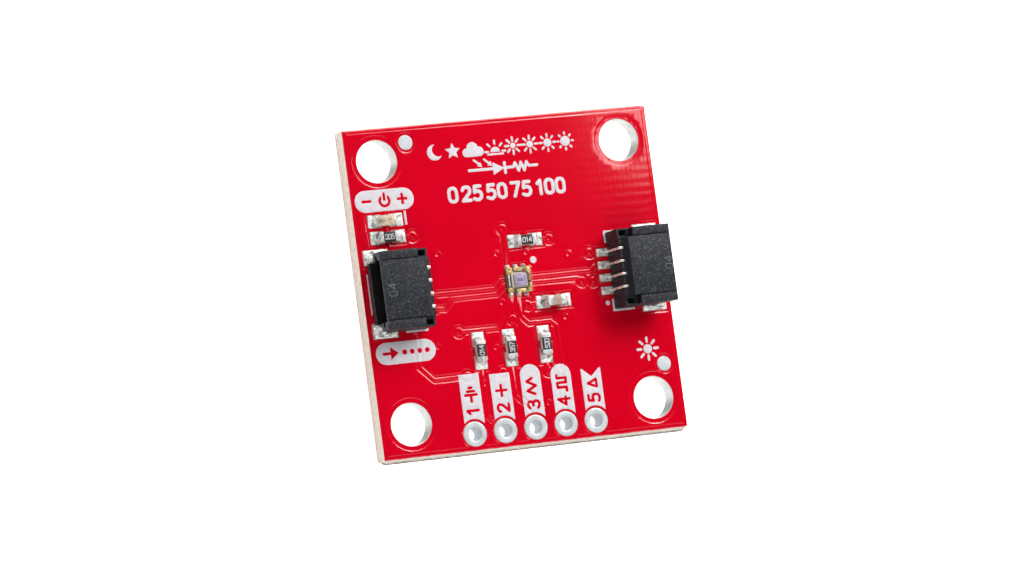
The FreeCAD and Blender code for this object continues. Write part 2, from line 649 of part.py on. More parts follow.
lens = box("LedLensBox", "-led_lens_l/2 + 0.04", "-chip_w/2", "led_base_h - end_th",
           "led_lens_l - 0.08", "chip_w", "led_h - led_base_h + end_th")
chip2 = box("LedChipCopy", -0.25, -0.15, "led_base_h - end_th", 0.3, 0.3, 0.12)
node(chip_place(group("LedLens", [cut("LedLensCut", lens, chip2)]), "led"), "led_lens")

doc.recompute()


# ---------------------------------------------------------------- print
def stadium(x0, x1, yc, w, z0, z1, vertical=False):
    if vertical:
        s = rect(yc - w / 2, x0, yc + w / 2, x1 - w / 2, z0, z1)
        return union([s, disc(yc, x1 - w / 2, w / 2, z0, z1)])
    s = rect(x0 + w / 2, yc - w / 2, x1 - w / 2, yc + w / 2, z0, z1)
    return union([s, disc(x0 + w / 2, yc, w / 2, z0, z1), disc(x1 - w / 2, yc, w / 2, z0, z1)])


def polygon(pts, z0, z1):
    face = Part.Face(Part.makePolygon([V(x, y, z0) for x, y in pts + pts[:1]]))
    return face.extrude(V(0, 0, z1 - z0))


# Plain digits as straight strokes in a cell 0.6 wide and 1 high.
DIGITS = {
    "0": [[(0.2, 0.0), (0.4, 0.0), (0.6, 0.25), (0.6, 0.75), (0.4, 1.0), (0.2, 1.0),
           (0.0, 0.75), (0.0, 0.25), (0.2, 0.0)]],
    "1": [[(0.1, 0.78), (0.34, 1.0), (0.34, 0.0)]],
    "2": [[(0.0, 0.78), (0.18, 1.0), (0.42, 1.0), (0.6, 0.78), (0.56, 0.55), (0.0, 0.0),
           (0.6, 0.0)]],
    "3": [[(0.02, 0.85), (0.2, 1.0), (0.42, 1.0), (0.58, 0.78), (0.42, 0.55), (0.24, 0.55)],
          [(0.42, 0.55), (0.6, 0.3), (0.42, 0.0), (0.18, 0.0), (0.0, 0.15)]],
    "4": [[(0.48, 0.0), (0.48, 1.0), (0.0, 0.32), (0.64, 0.32)]],
    "5": [[(0.55, 1.0), (0.1, 1.0), (0.06, 0.56), (0.38, 0.62), (0.6, 0.4), (0.56, 0.16),
           (0.36, 0.0), (0.0, 0.06)]],
    "7": [[(0.0, 1.0), (0.6, 1.0), (0.2, 0.0)]],
}


def strokes(paths, w, x, y, size, turn, z0, z1):
    """Stroked outlines in a unit cell, scaled, turned about the cell's origin and set down."""
    out = []
    c, s = math.cos(math.radians(turn)), math.sin(math.radians(turn))
    for path in paths:
        q = [(x + size * (u * c - v * s), y + size * (u * s + v * c)) for u, v in path]
        out += strip(q, w, z0, z1)
    return union(out)


def sun(x, y, r, r0, r1, w, z0, z1, n=8, full=True):
    out = [disc(x, y, r, z0, z1)]
    for k in range(n):
        a = 2 * math.pi * k / n
        if full or math.sin(a) > -0.01:
            out += strip([(x + r0 * math.cos(a), y + r0 * math.sin(a)),
                          (x + r1 * math.cos(a), y + r1 * math.sin(a))], w, z0, z1)
    return out


zp0 = D["board_th"]
zp1 = D["board_th"] + D["print_th"]
lo, hi = zp0 - 1, zp1 + 1
marks = []

# lozenge over the LED: minus, power ring, plus, all knocked out
pill = stadium(-12.4, -7.55, 7.15, 1.68, zp0, zp1)
ring = disc(-9.97, 7.08, 0.5, lo, hi).cut(disc(-9.97, 7.08, 0.28, lo - 1, hi + 1))
ring = ring.cut(rect(-10.2, 7.2, -9.74, 8.5, lo - 1, hi + 1))
pill = pill.cut(ring).cut(rect(-10.07, 7.1, -9.87, 7.75, lo, hi))
pill = pill.cut(union([rect(-8.93, 7.04, -8.07, 7.26, lo, hi), rect(-8.61, 6.72, -8.39, 7.58, lo, hi)]))
pill = pill.cut(rect(-11.85, 7.04, -11.05, 7.26, lo, hi))
marks.append(pill)
# lozenge under the left socket: an arrow into four dots, knocked out
pill = stadium(-12.3, -7.4, -4.6, 1.7, zp0, zp1)
pill = pill.cut(polygon([(-11.75, -4.49), (-11.1, -4.49), (-11.1, -4.1), (-10.45, -4.6),
                         (-11.1, -5.1), (-11.1, -4.71), (-11.75, -4.71)], lo, hi))
for k in range(4):
    pill = pill.cut(disc(-9.95 + 0.62 * k, -4.6, 0.2, lo, hi))
marks.append(pill)

# flags over the header holes, numbered upwards, each with a symbol knocked out
tops = (-6.8, -7.0, -6.55, -6.78, -7.35)
SYMBOLS = [
    # earth: three bars of falling length
    [[(1.0, 0.5), (1.55, 0.5)], [(1.55, 0.0), (1.55, 1.0)], [(1.85, 0.2), (1.85, 0.8)],
     [(2.15, 0.38), (2.15, 0.62)]],
    # plus
    [[(1.2, 0.5), (2.1, 0.5)], [(1.65, 0.05), (1.65, 0.95)]],
    # slanted wave
    [[(1.05, 0.25), (1.35, 0.9), (1.75, 0.1), (2.15, 0.9), (2.4, 0.4)]],
    # square wave
    [[(1.05, 0.1), (1.35, 0.1), (1.35, 0.9), (1.75, 0.9), (1.75, 0.1), (2.15, 0.1),
      (2.15, 0.9), (2.4, 0.9)]],
    # bell-like triangle
    [[(1.1, 0.12), (1.75, 0.12), (1.43, 0.9), (1.1, 0.12)]],
]
for k in range(5):
    x = (k - 2) * D["pin_pitch"] + 0.06
    w = 1.67
    if k in (2, 3):
        flag = stadium(-11.43, tops[k], x, w, zp0, zp1, vertical=True)
    else:
        flag = rect(x - w / 2, -11.43, x + w / 2, tops[k], zp0, zp1)
    if k == 4:
        flag = flag.cut(polygon([(x - w / 2 + 0.02, tops[k] + 0.05),
                                 (x + w / 2 - 0.02, tops[k] + 0.05), (x, -8.0)], lo, hi))
    flag = flag.cut(disc((k - 2) * D["pin_pitch"], D["pin_y"], 1.16, lo, hi))
    flag = flag.cut(strokes(DIGITS[str(k + 1)], 0.22, x + 0.46, -9.95, 0.92, 90, lo, hi))
    flag = flag.cut(strokes(SYMBOLS[k], 0.22 if k != 4 else 0.2, x + 0.46, -9.85, 0.92, 90, lo, hi))
    marks.append(flag)
# outline corners and front lines of the sockets, pin-one dots, LED bar
for s in (-1, 1):
    for t in (-1, 1):
        marks.append(union([rect(min(s * 7.79, s * 7.91), min(t * 2.2, t * 3.13),
                                 max(s * 7.79, s * 7.91), max(t * 2.2, t * 3.13), zp0, zp1),
                            rect(min(s * 7.79, s * 9.6), min(t * 3.01, t * 3.13),
                                 max(s * 7.79, s * 9.6), max(t * 3.01, t * 3.13), zp0, zp1)]))
    marks.append(rect(min(s * 12.12, s * 12.24), -1.55, max(s * 12.12, s * 12.24), 1.6,
                      zp0, zp1))
    marks.append(disc(s * 7.38, -s * 2.46, 0.19, zp0, zp1))
marks.append(rect(-8.53, 5.12, -8.35, 6.2, zp0, zp1))
marks.append(disc(1.62, 1.47, 0.27, zp0, zp1))

# first row: from night to full sun
marks.append(disc(-5.35, 10.45, 0.62, zp0, zp1).cut(disc(-5.05, 10.62, 0.5, lo, hi)))
star = []
for k in range(10):
    a = math.radians(90 + 36 * k)
    r = 0.66 if k % 2 == 0 else 0.3
    star.append((-3.85 + r * math.cos(a), 10.42 + r * math.sin(a)))
marks.append(polygon(star, zp0, zp1))
marks.append(union([disc(-2.72, 10.2, 0.34, zp0, zp1), disc(-2.2, 10.52, 0.48, zp0, zp1),
                    disc(-1.66, 10.24, 0.38, zp0, zp1), rect(-2.72, 9.86, -1.66, 10.3, zp0, zp1)]))
half = union([disc(-0.32, 10.08, 0.4, zp0, zp1)]).cut(rect(-1.2, 9.0, 0.6, 10.08, lo, hi))
marks.append(half)
marks.append(rect(-1.02, 9.84, 0.38, 9.99, zp0, zp1))
marks += sun(-0.32, 10.12, 0.1, 0.6, 0.84, 0.17, zp0, zp1, n=8, full=False)[1:]
for k, (x, r) in enumerate(((1.2, 0.22), (2.62, 0.27), (4.12, 0.33), (5.62, 0.4))):
    got = sun(x, 10.45, r, r + 0.16, 0.66, 0.17, zp0, zp1)
    marks.append(got[0])
    for q in range(8):
        marks.append(union(got[1 + 3 * q:4 + 3 * q]))
# second row: a light-sensitive diode with its resistor
marks.append(union(strip([(-2.7, 8.8), (-0.6, 8.8)], 0.22, zp0, zp1)
                   + [polygon([(-0.7, 8.3), (-0.7, 9.3), (0.25, 8.8)], zp0, zp1)]
                   + strip([(0.3, 8.42), (0.3, 9.18)], 0.24, zp0, zp1)
                   + strip([(0.3, 8.8), (1.0, 8.8), (1.18, 9.12), (1.42, 8.48), (1.66, 9.12),
                            (1.9, 8.48), (2.14, 9.12), (2.3, 8.8), (3.0, 8.8)], 0.22, zp0, zp1)))
for x in (-2.2, -1.35):
    marks.append(union(strip([(x, 9.58), (x + 0.4, 9.22)], 0.17, zp0, zp1)
                       + [polygon([(x + 0.64, 9.0), (x + 0.5, 9.42), (x + 0.2, 9.1)], zp0, zp1)]))
# third row: a plain scale from nothing to full
x = -4.62
for word in ("0", "25", "50", "75", "100"):
    for ch in word:
        marks.append(strokes(DIGITS[ch], 0.27, x, 6.52, 1.04, 0, zp0, zp1))
        x += 0.93 if ch != "1" else 0.78
    x += 0.2
# small sun by the lower right hole
marks.append(disc(10.2, -6.35, 0.36, zp0, zp1))
for q in range(8):
    marks.append(union(sun(10.2, -6.35, 0.36, 0.56, 0.86, 0.2, zp0, zp1)[1 + 3 * q:4 + 3 * q]))
for mark in marks:
    assert mark.isValid() and mark.Volume > 0
p = doc.addObject("Part::Feature", "Print")
p.Shape = Part.makeCompound([s for mark in marks for s in mark.Solids])
node(p, "legend_print")


# ---------------------------------------------------------------- solder joints
def fillet_x(x0, x1, y0, y1, z0, zt, zlow):
    """A meniscus: from height zt at x0 down to zlow at x1, hollow in between."""
    pts = [V(x0, y0, z0), V(x0, y0, zt)]
    n = 5
    for i in range(1, n):
        u = i / n
        pts.append(V(x0 + (x1 - x0) * u, y0, zlow + (zt - zlow) * (1 - u) ** 2.2))
    pts += [V(x1, y0, zlow), V(x1, y0, z0), V(x0, y0, z0)]
    return Part.Face(Part.makePolygon(pts)).extrude(V(0, y1 - y0, 0))


zf = z_foil1


def chip_solder(name, length, rise):
    x, y, way = CHIPS[name]
    out = []
    w = D["chip_w"] / 2
    for s in (-1, 1):
        flat = rect(D["pad_in"] + 0.03, -D["pad_w"] / 2 + 0.02, length / 2, D["pad_w"] / 2 - 0.02,
                    zf, D["board_th"])
        wedge = fillet_x(length / 2, D["pad_out"] - 0.01, -w - 0.04, w + 0.04, zf,
                         D["board_th"] + rise, zf + 0.03)
        solid = union([flat, wedge])
        angle = (0 if s > 0 else 180) + (0 if way == "x" else 90)
        solid.Placement = Placement(V(x, y, 0), Rotation(V(0, 0, 1), angle))
        out.append(solid)
    return out


def add_solder(solids, label):
    o = doc.addObject("Part::Feature", label.title().replace("_", ""))
    o.Shape = Part.makeCompound(solids)
    node(o, label)


add_solder(sum([chip_solder("resistor_%d" % n, D["chip_l"], 0.36) for n in range(1, 6)], []),
           "solder_resistors")
add_solder(chip_solder("capacitor", D["chip_l"], 0.5), "solder_capacitor")
add_solder(chip_solder("led", D["chip_l"], 0.2), "solder_led")

out = []
for k in (-1, 0, 1):
    for t in (-1, 1):
        x = D["sensor_x"] + k * D["lead_pitch"]
        y0, y1 = 1.02, 1.235
        flat = rect(x - 0.17, 0.74, x + 0.17, y0, zf, D["board_th"])
        pts = [V(x - 0.17, y0, zf), V(x - 0.17, y0, D["board_th"] + 0.2),
               V(x - 0.17, y0 + 0.08, D["board_th"] + 0.13), V(x - 0.17, y1, zf + 0.02),
               V(x - 0.17, y1, zf), V(x - 0.17, y0, zf)]
        wedge = Part.Face(Part.makePolygon(pts)).extrude(V(0.34, 0, 0))
        solid = union([flat, wedge])
        if t < 0:
            solid = solid.mirror(V(0, 0, 0), V(0, 1, 0))
        out.append(solid)
add_solder(out, "solder_sensor")

for side, s in (("left", -1), ("right", 1)):
    out = []
    foot_end = D["sock_front"] - D["foot_x"]
    foot_in = D["sock_front"] - D["riser_x"]
    for row in ROWS:
        flat = rect(7.0, row - 0.28, 8.38, row + 0.28, zf, D["board_th"])
        toe = fillet_x(foot_end, 7.0, row - 0.2, row + 0.2, zf, D["board_th"] + 0.14, zf + 0.02)
        cheeks = []
        for t in (-1, 1):
            pts = [V(foot_end - 0.1, row + t * 0.1, zf),
                   V(foot_end - 0.1, row + t * 0.1, D["board_th"] + 0.12),
                   V(foot_end - 0.1, row + t * 0.17, D["board_th"] + 0.03),
                   V(foot_end - 0.1, row + t * 0.27, zf + 0.02),
                   V(foot_end - 0.1, row + t * 0.27, zf),
                   V(foot_end - 0.1, row + t * 0.1, zf)]
            cheeks.append(Part.Face(Part.makePolygon(pts)).extrude(V(0.75, 0, 0)))
        solid = union([flat, toe] + cheeks)
        if s < 0:
            solid = solid.mirror(V(0, 0, 0), V(1, 0, 0))
        out.append(solid)
    for t in (-1, 1):
        flat = rect(10.28, 2.25, 12.27, 3.39, zf, D["board_th"])
        front = D["sock_front"] - D["tab_x0"]
        back = D["sock_front"] - D["tab_x1"]
        pts = [V(back, D["tab_y1"], zf), V(back, D["tab_y1"], D["board_th"] + 0.17),
               V(back, D["tab_y1"] + 0.12, D["board_th"] + 0.06), V(back, 3.39, zf + 0.03),
               V(back, 3.39, zf), V(back, D["tab_y1"], zf)]
        side_fillet = Part.Face(Part.makePolygon(pts)).extrude(V(front - back, 0, 0))
        group_ = [union([flat, side_fillet])]
        # solder that has crept up both sides of the standing tab, in its open bay
        z0 = D["board_th"] + D["tab_th"]
        for ya, yb in ((D["tab_up_y0"], 2.38), (D["tab_up_y1"], 3.04)):
            pts = [V(front - 0.83, ya, z0), V(front - 0.83, yb, z0), V(front - 0.83, (ya + yb) / 2, z0 + 0.3),
                   V(front - 0.83, ya, z0 + 0.75), V(front - 0.83, ya, z0)]
            group_.append(Part.Face(Part.makePolygon(pts)).extrude(V(0.58, 0, 0)))
        for solid in group_:
            if t < 0:
                solid = solid.mirror(V(0, 0, 0), V(0, 1, 0))
            if s < 0:
                solid = solid.mirror(V(0, 0, 0), V(1, 0, 0))
            out.append(solid)
    add_solder(out, "solder_%s_socket" % side)

doc.recompute()

# ---------------------------------------------------------------- checks and export
bad = [o.Name for o in doc.Objects
       if any(word in ("Invalid", "Error") for word in o.State)]
assert not bad, bad
os.makedirs("parts", exist_ok=True)
names = [label for _, label in PARTS]
assert len(set(names)) == len(names) <= 60, names
for obj, label in PARTS:
    shape = obj.Shape
    assert not shape.isNull() and shape.isValid(), label
    assert shape.Solids, label
    for s in shape.Solids:
        assert s.Volume > 0, label
for obj, label in PARTS:
    obj.Shape.exportStep("parts/%s.step" % label)
    bb = obj.Shape.BoundBox
    print("%-24s solids %3d  vol %9.4f  x %.3f %.3f  y %.3f %.3f  z %.3f %.3f" % (
        label, len(obj.Shape.Solids), obj.Shape.Volume, bb.XMin, bb.XMax, bb.YMin, bb.YMax,
        bb.ZMin, bb.ZMax))
print(len(PARTS), "nodes")
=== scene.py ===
import bpy
import bmesh
import math
import random
import numpy as np
from mathutils import Vector, Matrix
from mathutils.geometry import delaunay_2d_cdt


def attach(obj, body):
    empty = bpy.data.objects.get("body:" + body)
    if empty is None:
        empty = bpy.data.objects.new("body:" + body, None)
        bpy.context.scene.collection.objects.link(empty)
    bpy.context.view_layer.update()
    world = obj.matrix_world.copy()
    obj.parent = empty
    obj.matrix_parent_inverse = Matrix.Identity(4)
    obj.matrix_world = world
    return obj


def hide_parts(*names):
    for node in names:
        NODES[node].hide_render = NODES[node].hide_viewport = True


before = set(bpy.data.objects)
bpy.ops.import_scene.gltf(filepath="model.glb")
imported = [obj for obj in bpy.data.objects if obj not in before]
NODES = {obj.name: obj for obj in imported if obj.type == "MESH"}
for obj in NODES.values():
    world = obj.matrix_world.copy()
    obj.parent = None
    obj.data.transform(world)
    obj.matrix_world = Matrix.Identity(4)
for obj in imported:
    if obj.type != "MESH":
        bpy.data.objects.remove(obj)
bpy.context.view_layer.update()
MM = 0.001
rng = np.random.default_rng(7)
random.seed(7)

# ------------------------------------------------------------------ distance fields
class Field:
    """A signed distance field on a square grid, negative inside."""

    def __init__(self, x0, y0, x1, y1, h):
        self.h, self.x0, self.y0 = h, x0, y0
        self.nx = int(round((x1 - x0) / h)) + 1
        self.ny = int(round((y1 - y0) / h)) + 1
        self.X, self.Y = np.meshgrid(x0 + h * np.arange(self.nx), y0 + h * np.arange(self.ny))
        self.f = np.full(self.X.shape, 9.0)

    def window(self, box, m):
        xa, ya, xb, yb = box
        i0 = max(0, int((xa - m - self.x0) / self.h))
        i1 = min(self.nx, int((xb + m - self.x0) / self.h) + 2)
        j0 = max(0, int((ya - m - self.y0) / self.h))
        j1 = min(self.ny, int((yb + m - self.y0) / self.h) + 2)
        return slice(j0, j1), slice(i0, i1)

    def add(self, shape, m=0.6):
        fn, box = shape
        w = self.window(box, m)
        self.f[w] = np.minimum(self.f[w], fn(self.X[w], self.Y[w]))

    def cut(self, shape, m=0.6):
        fn, box = shape
        w = self.window(box, m)
        self.f[w] = np.maximum(self.f[w], -fn(self.X[w], self.Y[w]))

    def at(self, x, y):
        u = np.clip((np.asarray(x) - self.x0) / self.h, 0, self.nx - 1.001)
        v = np.clip((np.asarray(y) - self.y0) / self.h, 0, self.ny - 1.001)
        i, j = u.astype(int), v.astype(int)
        a, b = u - i, v - j
        f = self.f
        return ((f[j, i] * (1 - a) + f[j, i + 1] * a) * (1 - b)
                + (f[j + 1, i] * (1 - a) + f[j + 1, i + 1] * a) * b)


def s_disc(x, y, r):
    return (lambda X, Y: np.hypot(X - x, Y - y) - r), (x - r, y - r, x + r, y + r)


def s_ngon(x, y, r, n, turn=0.0):
    """A regular outline with n flats."""
    return s_poly([(x + r * math.cos(turn + 2 * math.pi * k / n),
                    y + r * math.sin(turn + 2 * math.pi * k / n)) for k in range(n)])


def s_rect(xa, ya, xb, yb, r=0.0):
    cx, cy, hx, hy = (xa + xb) / 2, (ya + yb) / 2, (xb - xa) / 2 - r, (yb - ya) / 2 - r

    def fn(X, Y):
        dx, dy = np.abs(X - cx) - hx, np.abs(Y - cy) - hy
        return np.hypot(np.maximum(dx, 0), np.maximum(dy, 0)) + np.minimum(np.maximum(dx, dy), 0) - r
    return fn, (xa, ya, xb, yb)


def s_line(ax, ay, bx, by, w):
    def fn(X, Y):
        px, py, vx, vy = X - ax, Y - ay, bx - ax, by - ay
        t = np.clip((px * vx + py * vy) / max(vx * vx + vy * vy, 1e-12), 0, 1)
        return np.hypot(px - t * vx, py - t * vy) - w / 2
    r = w / 2
    return fn, (min(ax, bx) - r, min(ay, by) - r, max(ax, bx) + r, max(ay, by) + r)


def s_path(path, w):
    return [s_line(*a, *b, w) for a, b in zip(path, path[1:])]


def s_poly(pts, r=0.0):
    p = np.array(pts, float)

    def fn(X, Y):
        d = np.full(X.shape, 1e9)
        inside = np.zeros(X.shape, bool)
        for (ax, ay), (bx, by) in zip(p, np.roll(p, -1, 0)):
            px, py, vx, vy = X - ax, Y - ay, bx - ax, by - ay
            t = np.clip((px * vx + py * vy) / max(vx * vx + vy * vy, 1e-12), 0, 1)
            d = np.minimum(d, np.hypot(px - t * vx, py - t * vy))
            if ay != by:
                hit = ((ay > Y) != (by > Y)) & (X < (bx - ax) * (Y - ay) / (by - ay) + ax)
                inside ^= hit
        return np.where(inside, -d, d) - r
    return fn, (p[:, 0].min() - r, p[:, 1].min() - r, p[:, 0].max() + r, p[:, 1].max() + r)


def contours(field, level):
    """Lines where the field crosses a level, by marching squares."""
    f = field.f - level
    s = f < 0
    hx = s[:, :-1] != s[:, 1:]
    vx = s[:-1, :] != s[1:, :]
    j, i = np.nonzero(hx)
    t = f[j, i] / (f[j, i] - f[j, i + 1])
    idh = np.full(hx.shape, -1, int)
    idh[j, i] = np.arange(len(j))
    p1 = np.stack([field.x0 + field.h * (i + t), field.y0 + field.h * j], 1)
    j2, i2 = np.nonzero(vx)
    t2 = f[j2, i2] / (f[j2, i2] - f[j2 + 1, i2])
    idv = np.full(vx.shape, -1, int)
    idv[j2, i2] = len(j) + np.arange(len(j2))
    p2 = np.stack([field.x0 + field.h * i2, field.y0 + field.h * (j2 + t2)], 1)
    pts = np.concatenate([p1, p2])
    ids = {"b": idh[:-1, :], "t": idh[1:, :], "l": idv[:, :-1], "r": idv[:, 1:]}
    code = s[:-1, :-1] * 1 + s[:-1, 1:] * 2 + s[1:, 1:] * 4 + s[1:, :-1] * 8
    rule = {1: ["lb"], 2: ["br"], 3: ["lr"], 4: ["rt"], 5: ["lt", "br"], 6: ["bt"], 7: ["lt"],
            8: ["tl"], 9: ["tb"], 10: ["tr", "lb"], 11: ["tr"], 12: ["rl"], 13: ["rb"], 14: ["bl"]}
    segs = []
    for k, pairs in rule.items():
        m = code == k
        if m.any():
            segs += [np.stack([ids[p][m], ids[q][m]], 1) for p, q in pairs]
    if not segs:
        return []
    link = {}
    for a, c in np.concatenate(segs).tolist():
        link.setdefault(a, []).append(c)
        link.setdefault(c, []).append(a)
    seen, loops = set(), []
    for start in [k for k, v in link.items() if len(v) == 1] + list(link):
        if start in seen:
            continue
        line = [start]
        seen.add(start)
        cur = start
        while True:
            nxt = [q for q in link[cur] if q not in seen]
            if not nxt:
                break
            cur = nxt[0]
            seen.add(cur)
            line.append(cur)
        loops.append((pts[line], len(line) > 2 and line[0] in link[line[-1]]))
    return loops


def simplify(p, closed, tol):
    """Drops points that lie within tol of the line through those kept."""
    n = len(p)
    if n < 4:
        return p
    keep = np.zeros(n, bool)
    if closed:
        k = int(np.argmax(((p - p[0]) ** 2).sum(1)))
        spans, q = [(0, k), (k, n)], np.vstack([p, p[:1]])
        keep[0] = keep[k] = True
    else:
        spans, q = [(0, n - 1)], p
        keep[0] = keep[n - 1] = True
    while spans:
        a, b = spans.pop()
        if b - a < 2:
            continue
        d = q[b] - q[a]
        length = math.hypot(*d)
        m = q[a + 1:b] - q[a]
        e = np.hypot(m[:, 0], m[:, 1]) if length < 1e-9 else np.abs(m[:, 0] * d[1] - m[:, 1] * d[0]) / length
        k = int(np.argmax(e))
        if e[k] > tol:
            k = a + 1 + k
            keep[k % n] = True
            spans += [(a, k), (k, b)]
    return p[keep]


def triangulate(lines, extra, keep):
    """Constrained triangulation of lines and loose points; keep(x, y) says which triangles stay."""
    verts, edges = [], []
    for p, closed in lines:
        n = len(p)
        if n < (3 if closed else 2):
            continue
        base = len(verts)
        verts += [Vector((float(a), float(b))) for a, b in p]
        edges += [(base + i, base + i + 1) for i in range(n - 1)]
        if closed:
            edges.append((base + n - 1, base))
    verts += [Vector((float(a), float(b))) for a, b in extra]
    out = delaunay_2d_cdt(verts, edges, [], 0, 1e-5)
    v = np.array([tuple(q) for q in out[0]])
    t = np.array(out[2])
    c = v[t].mean(1)
    t = t[keep(c[:, 0], c[:, 1])]
    used = np.unique(t)
    index = np.full(len(v), -1)
    index[used] = np.arange(len(used))
    return v[used], index[t]


def lines_of(field, levels, tol):
    return [(simplify(p, c, tol), c) for lv in levels for p, c in contours(field, lv)]


# ------------------------------------------------------------------ mesh helpers
def piece(name, verts, faces, mat, smooth=True, mats=None, index=None, angle=None):
    """A mesh object from millimetre coordinates, riding on the root body."""
    me = bpy.data.meshes.new(name)
    v = np.asarray(verts, float) * MM
    me.from_pydata(v.tolist(), [], [tuple(int(i) for i in f) for f in faces])
    ob = bpy.data.objects.new(name, me)
    bpy.context.scene.collection.objects.link(ob)
    for m in (mats or [mat]):
        me.materials.append(m)
    if index is not None:
        me.polygons.foreach_set("material_index", np.asarray(index, np.int32))
    me.validate()
    me.update()
    if smooth:
        me.polygons.foreach_set("use_smooth", np.ones(len(me.polygons), bool))
        if angle is not None:
            me.set_sharp_from_angle(angle=math.radians(angle))
    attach(ob, "root")
    return ob


def skirt(v, t, zb):
    """Adds walls from the free edges of a sheet down to zb(x, y, z)."""
    e = np.concatenate([t[:, [0, 1]], t[:, [1, 2]], t[:, [2, 0]]])
    key = {}
    for a, b in e.tolist():
        key[(a, b)] = 1
    free = [(a, b) for a, b in key if (b, a) not in key]
    low = {}
    verts = v.tolist()
    faces = [tuple(f) for f in t.tolist()]
    for a, b in free:
        for q in (a, b):
            if q not in low:
                low[q] = len(verts)
                x, y, z = v[q]
                verts.append([x, y, zb])
    for a, b in free:
        faces.append((b, a, low[a], low[b]))
    return np.array(verts), faces


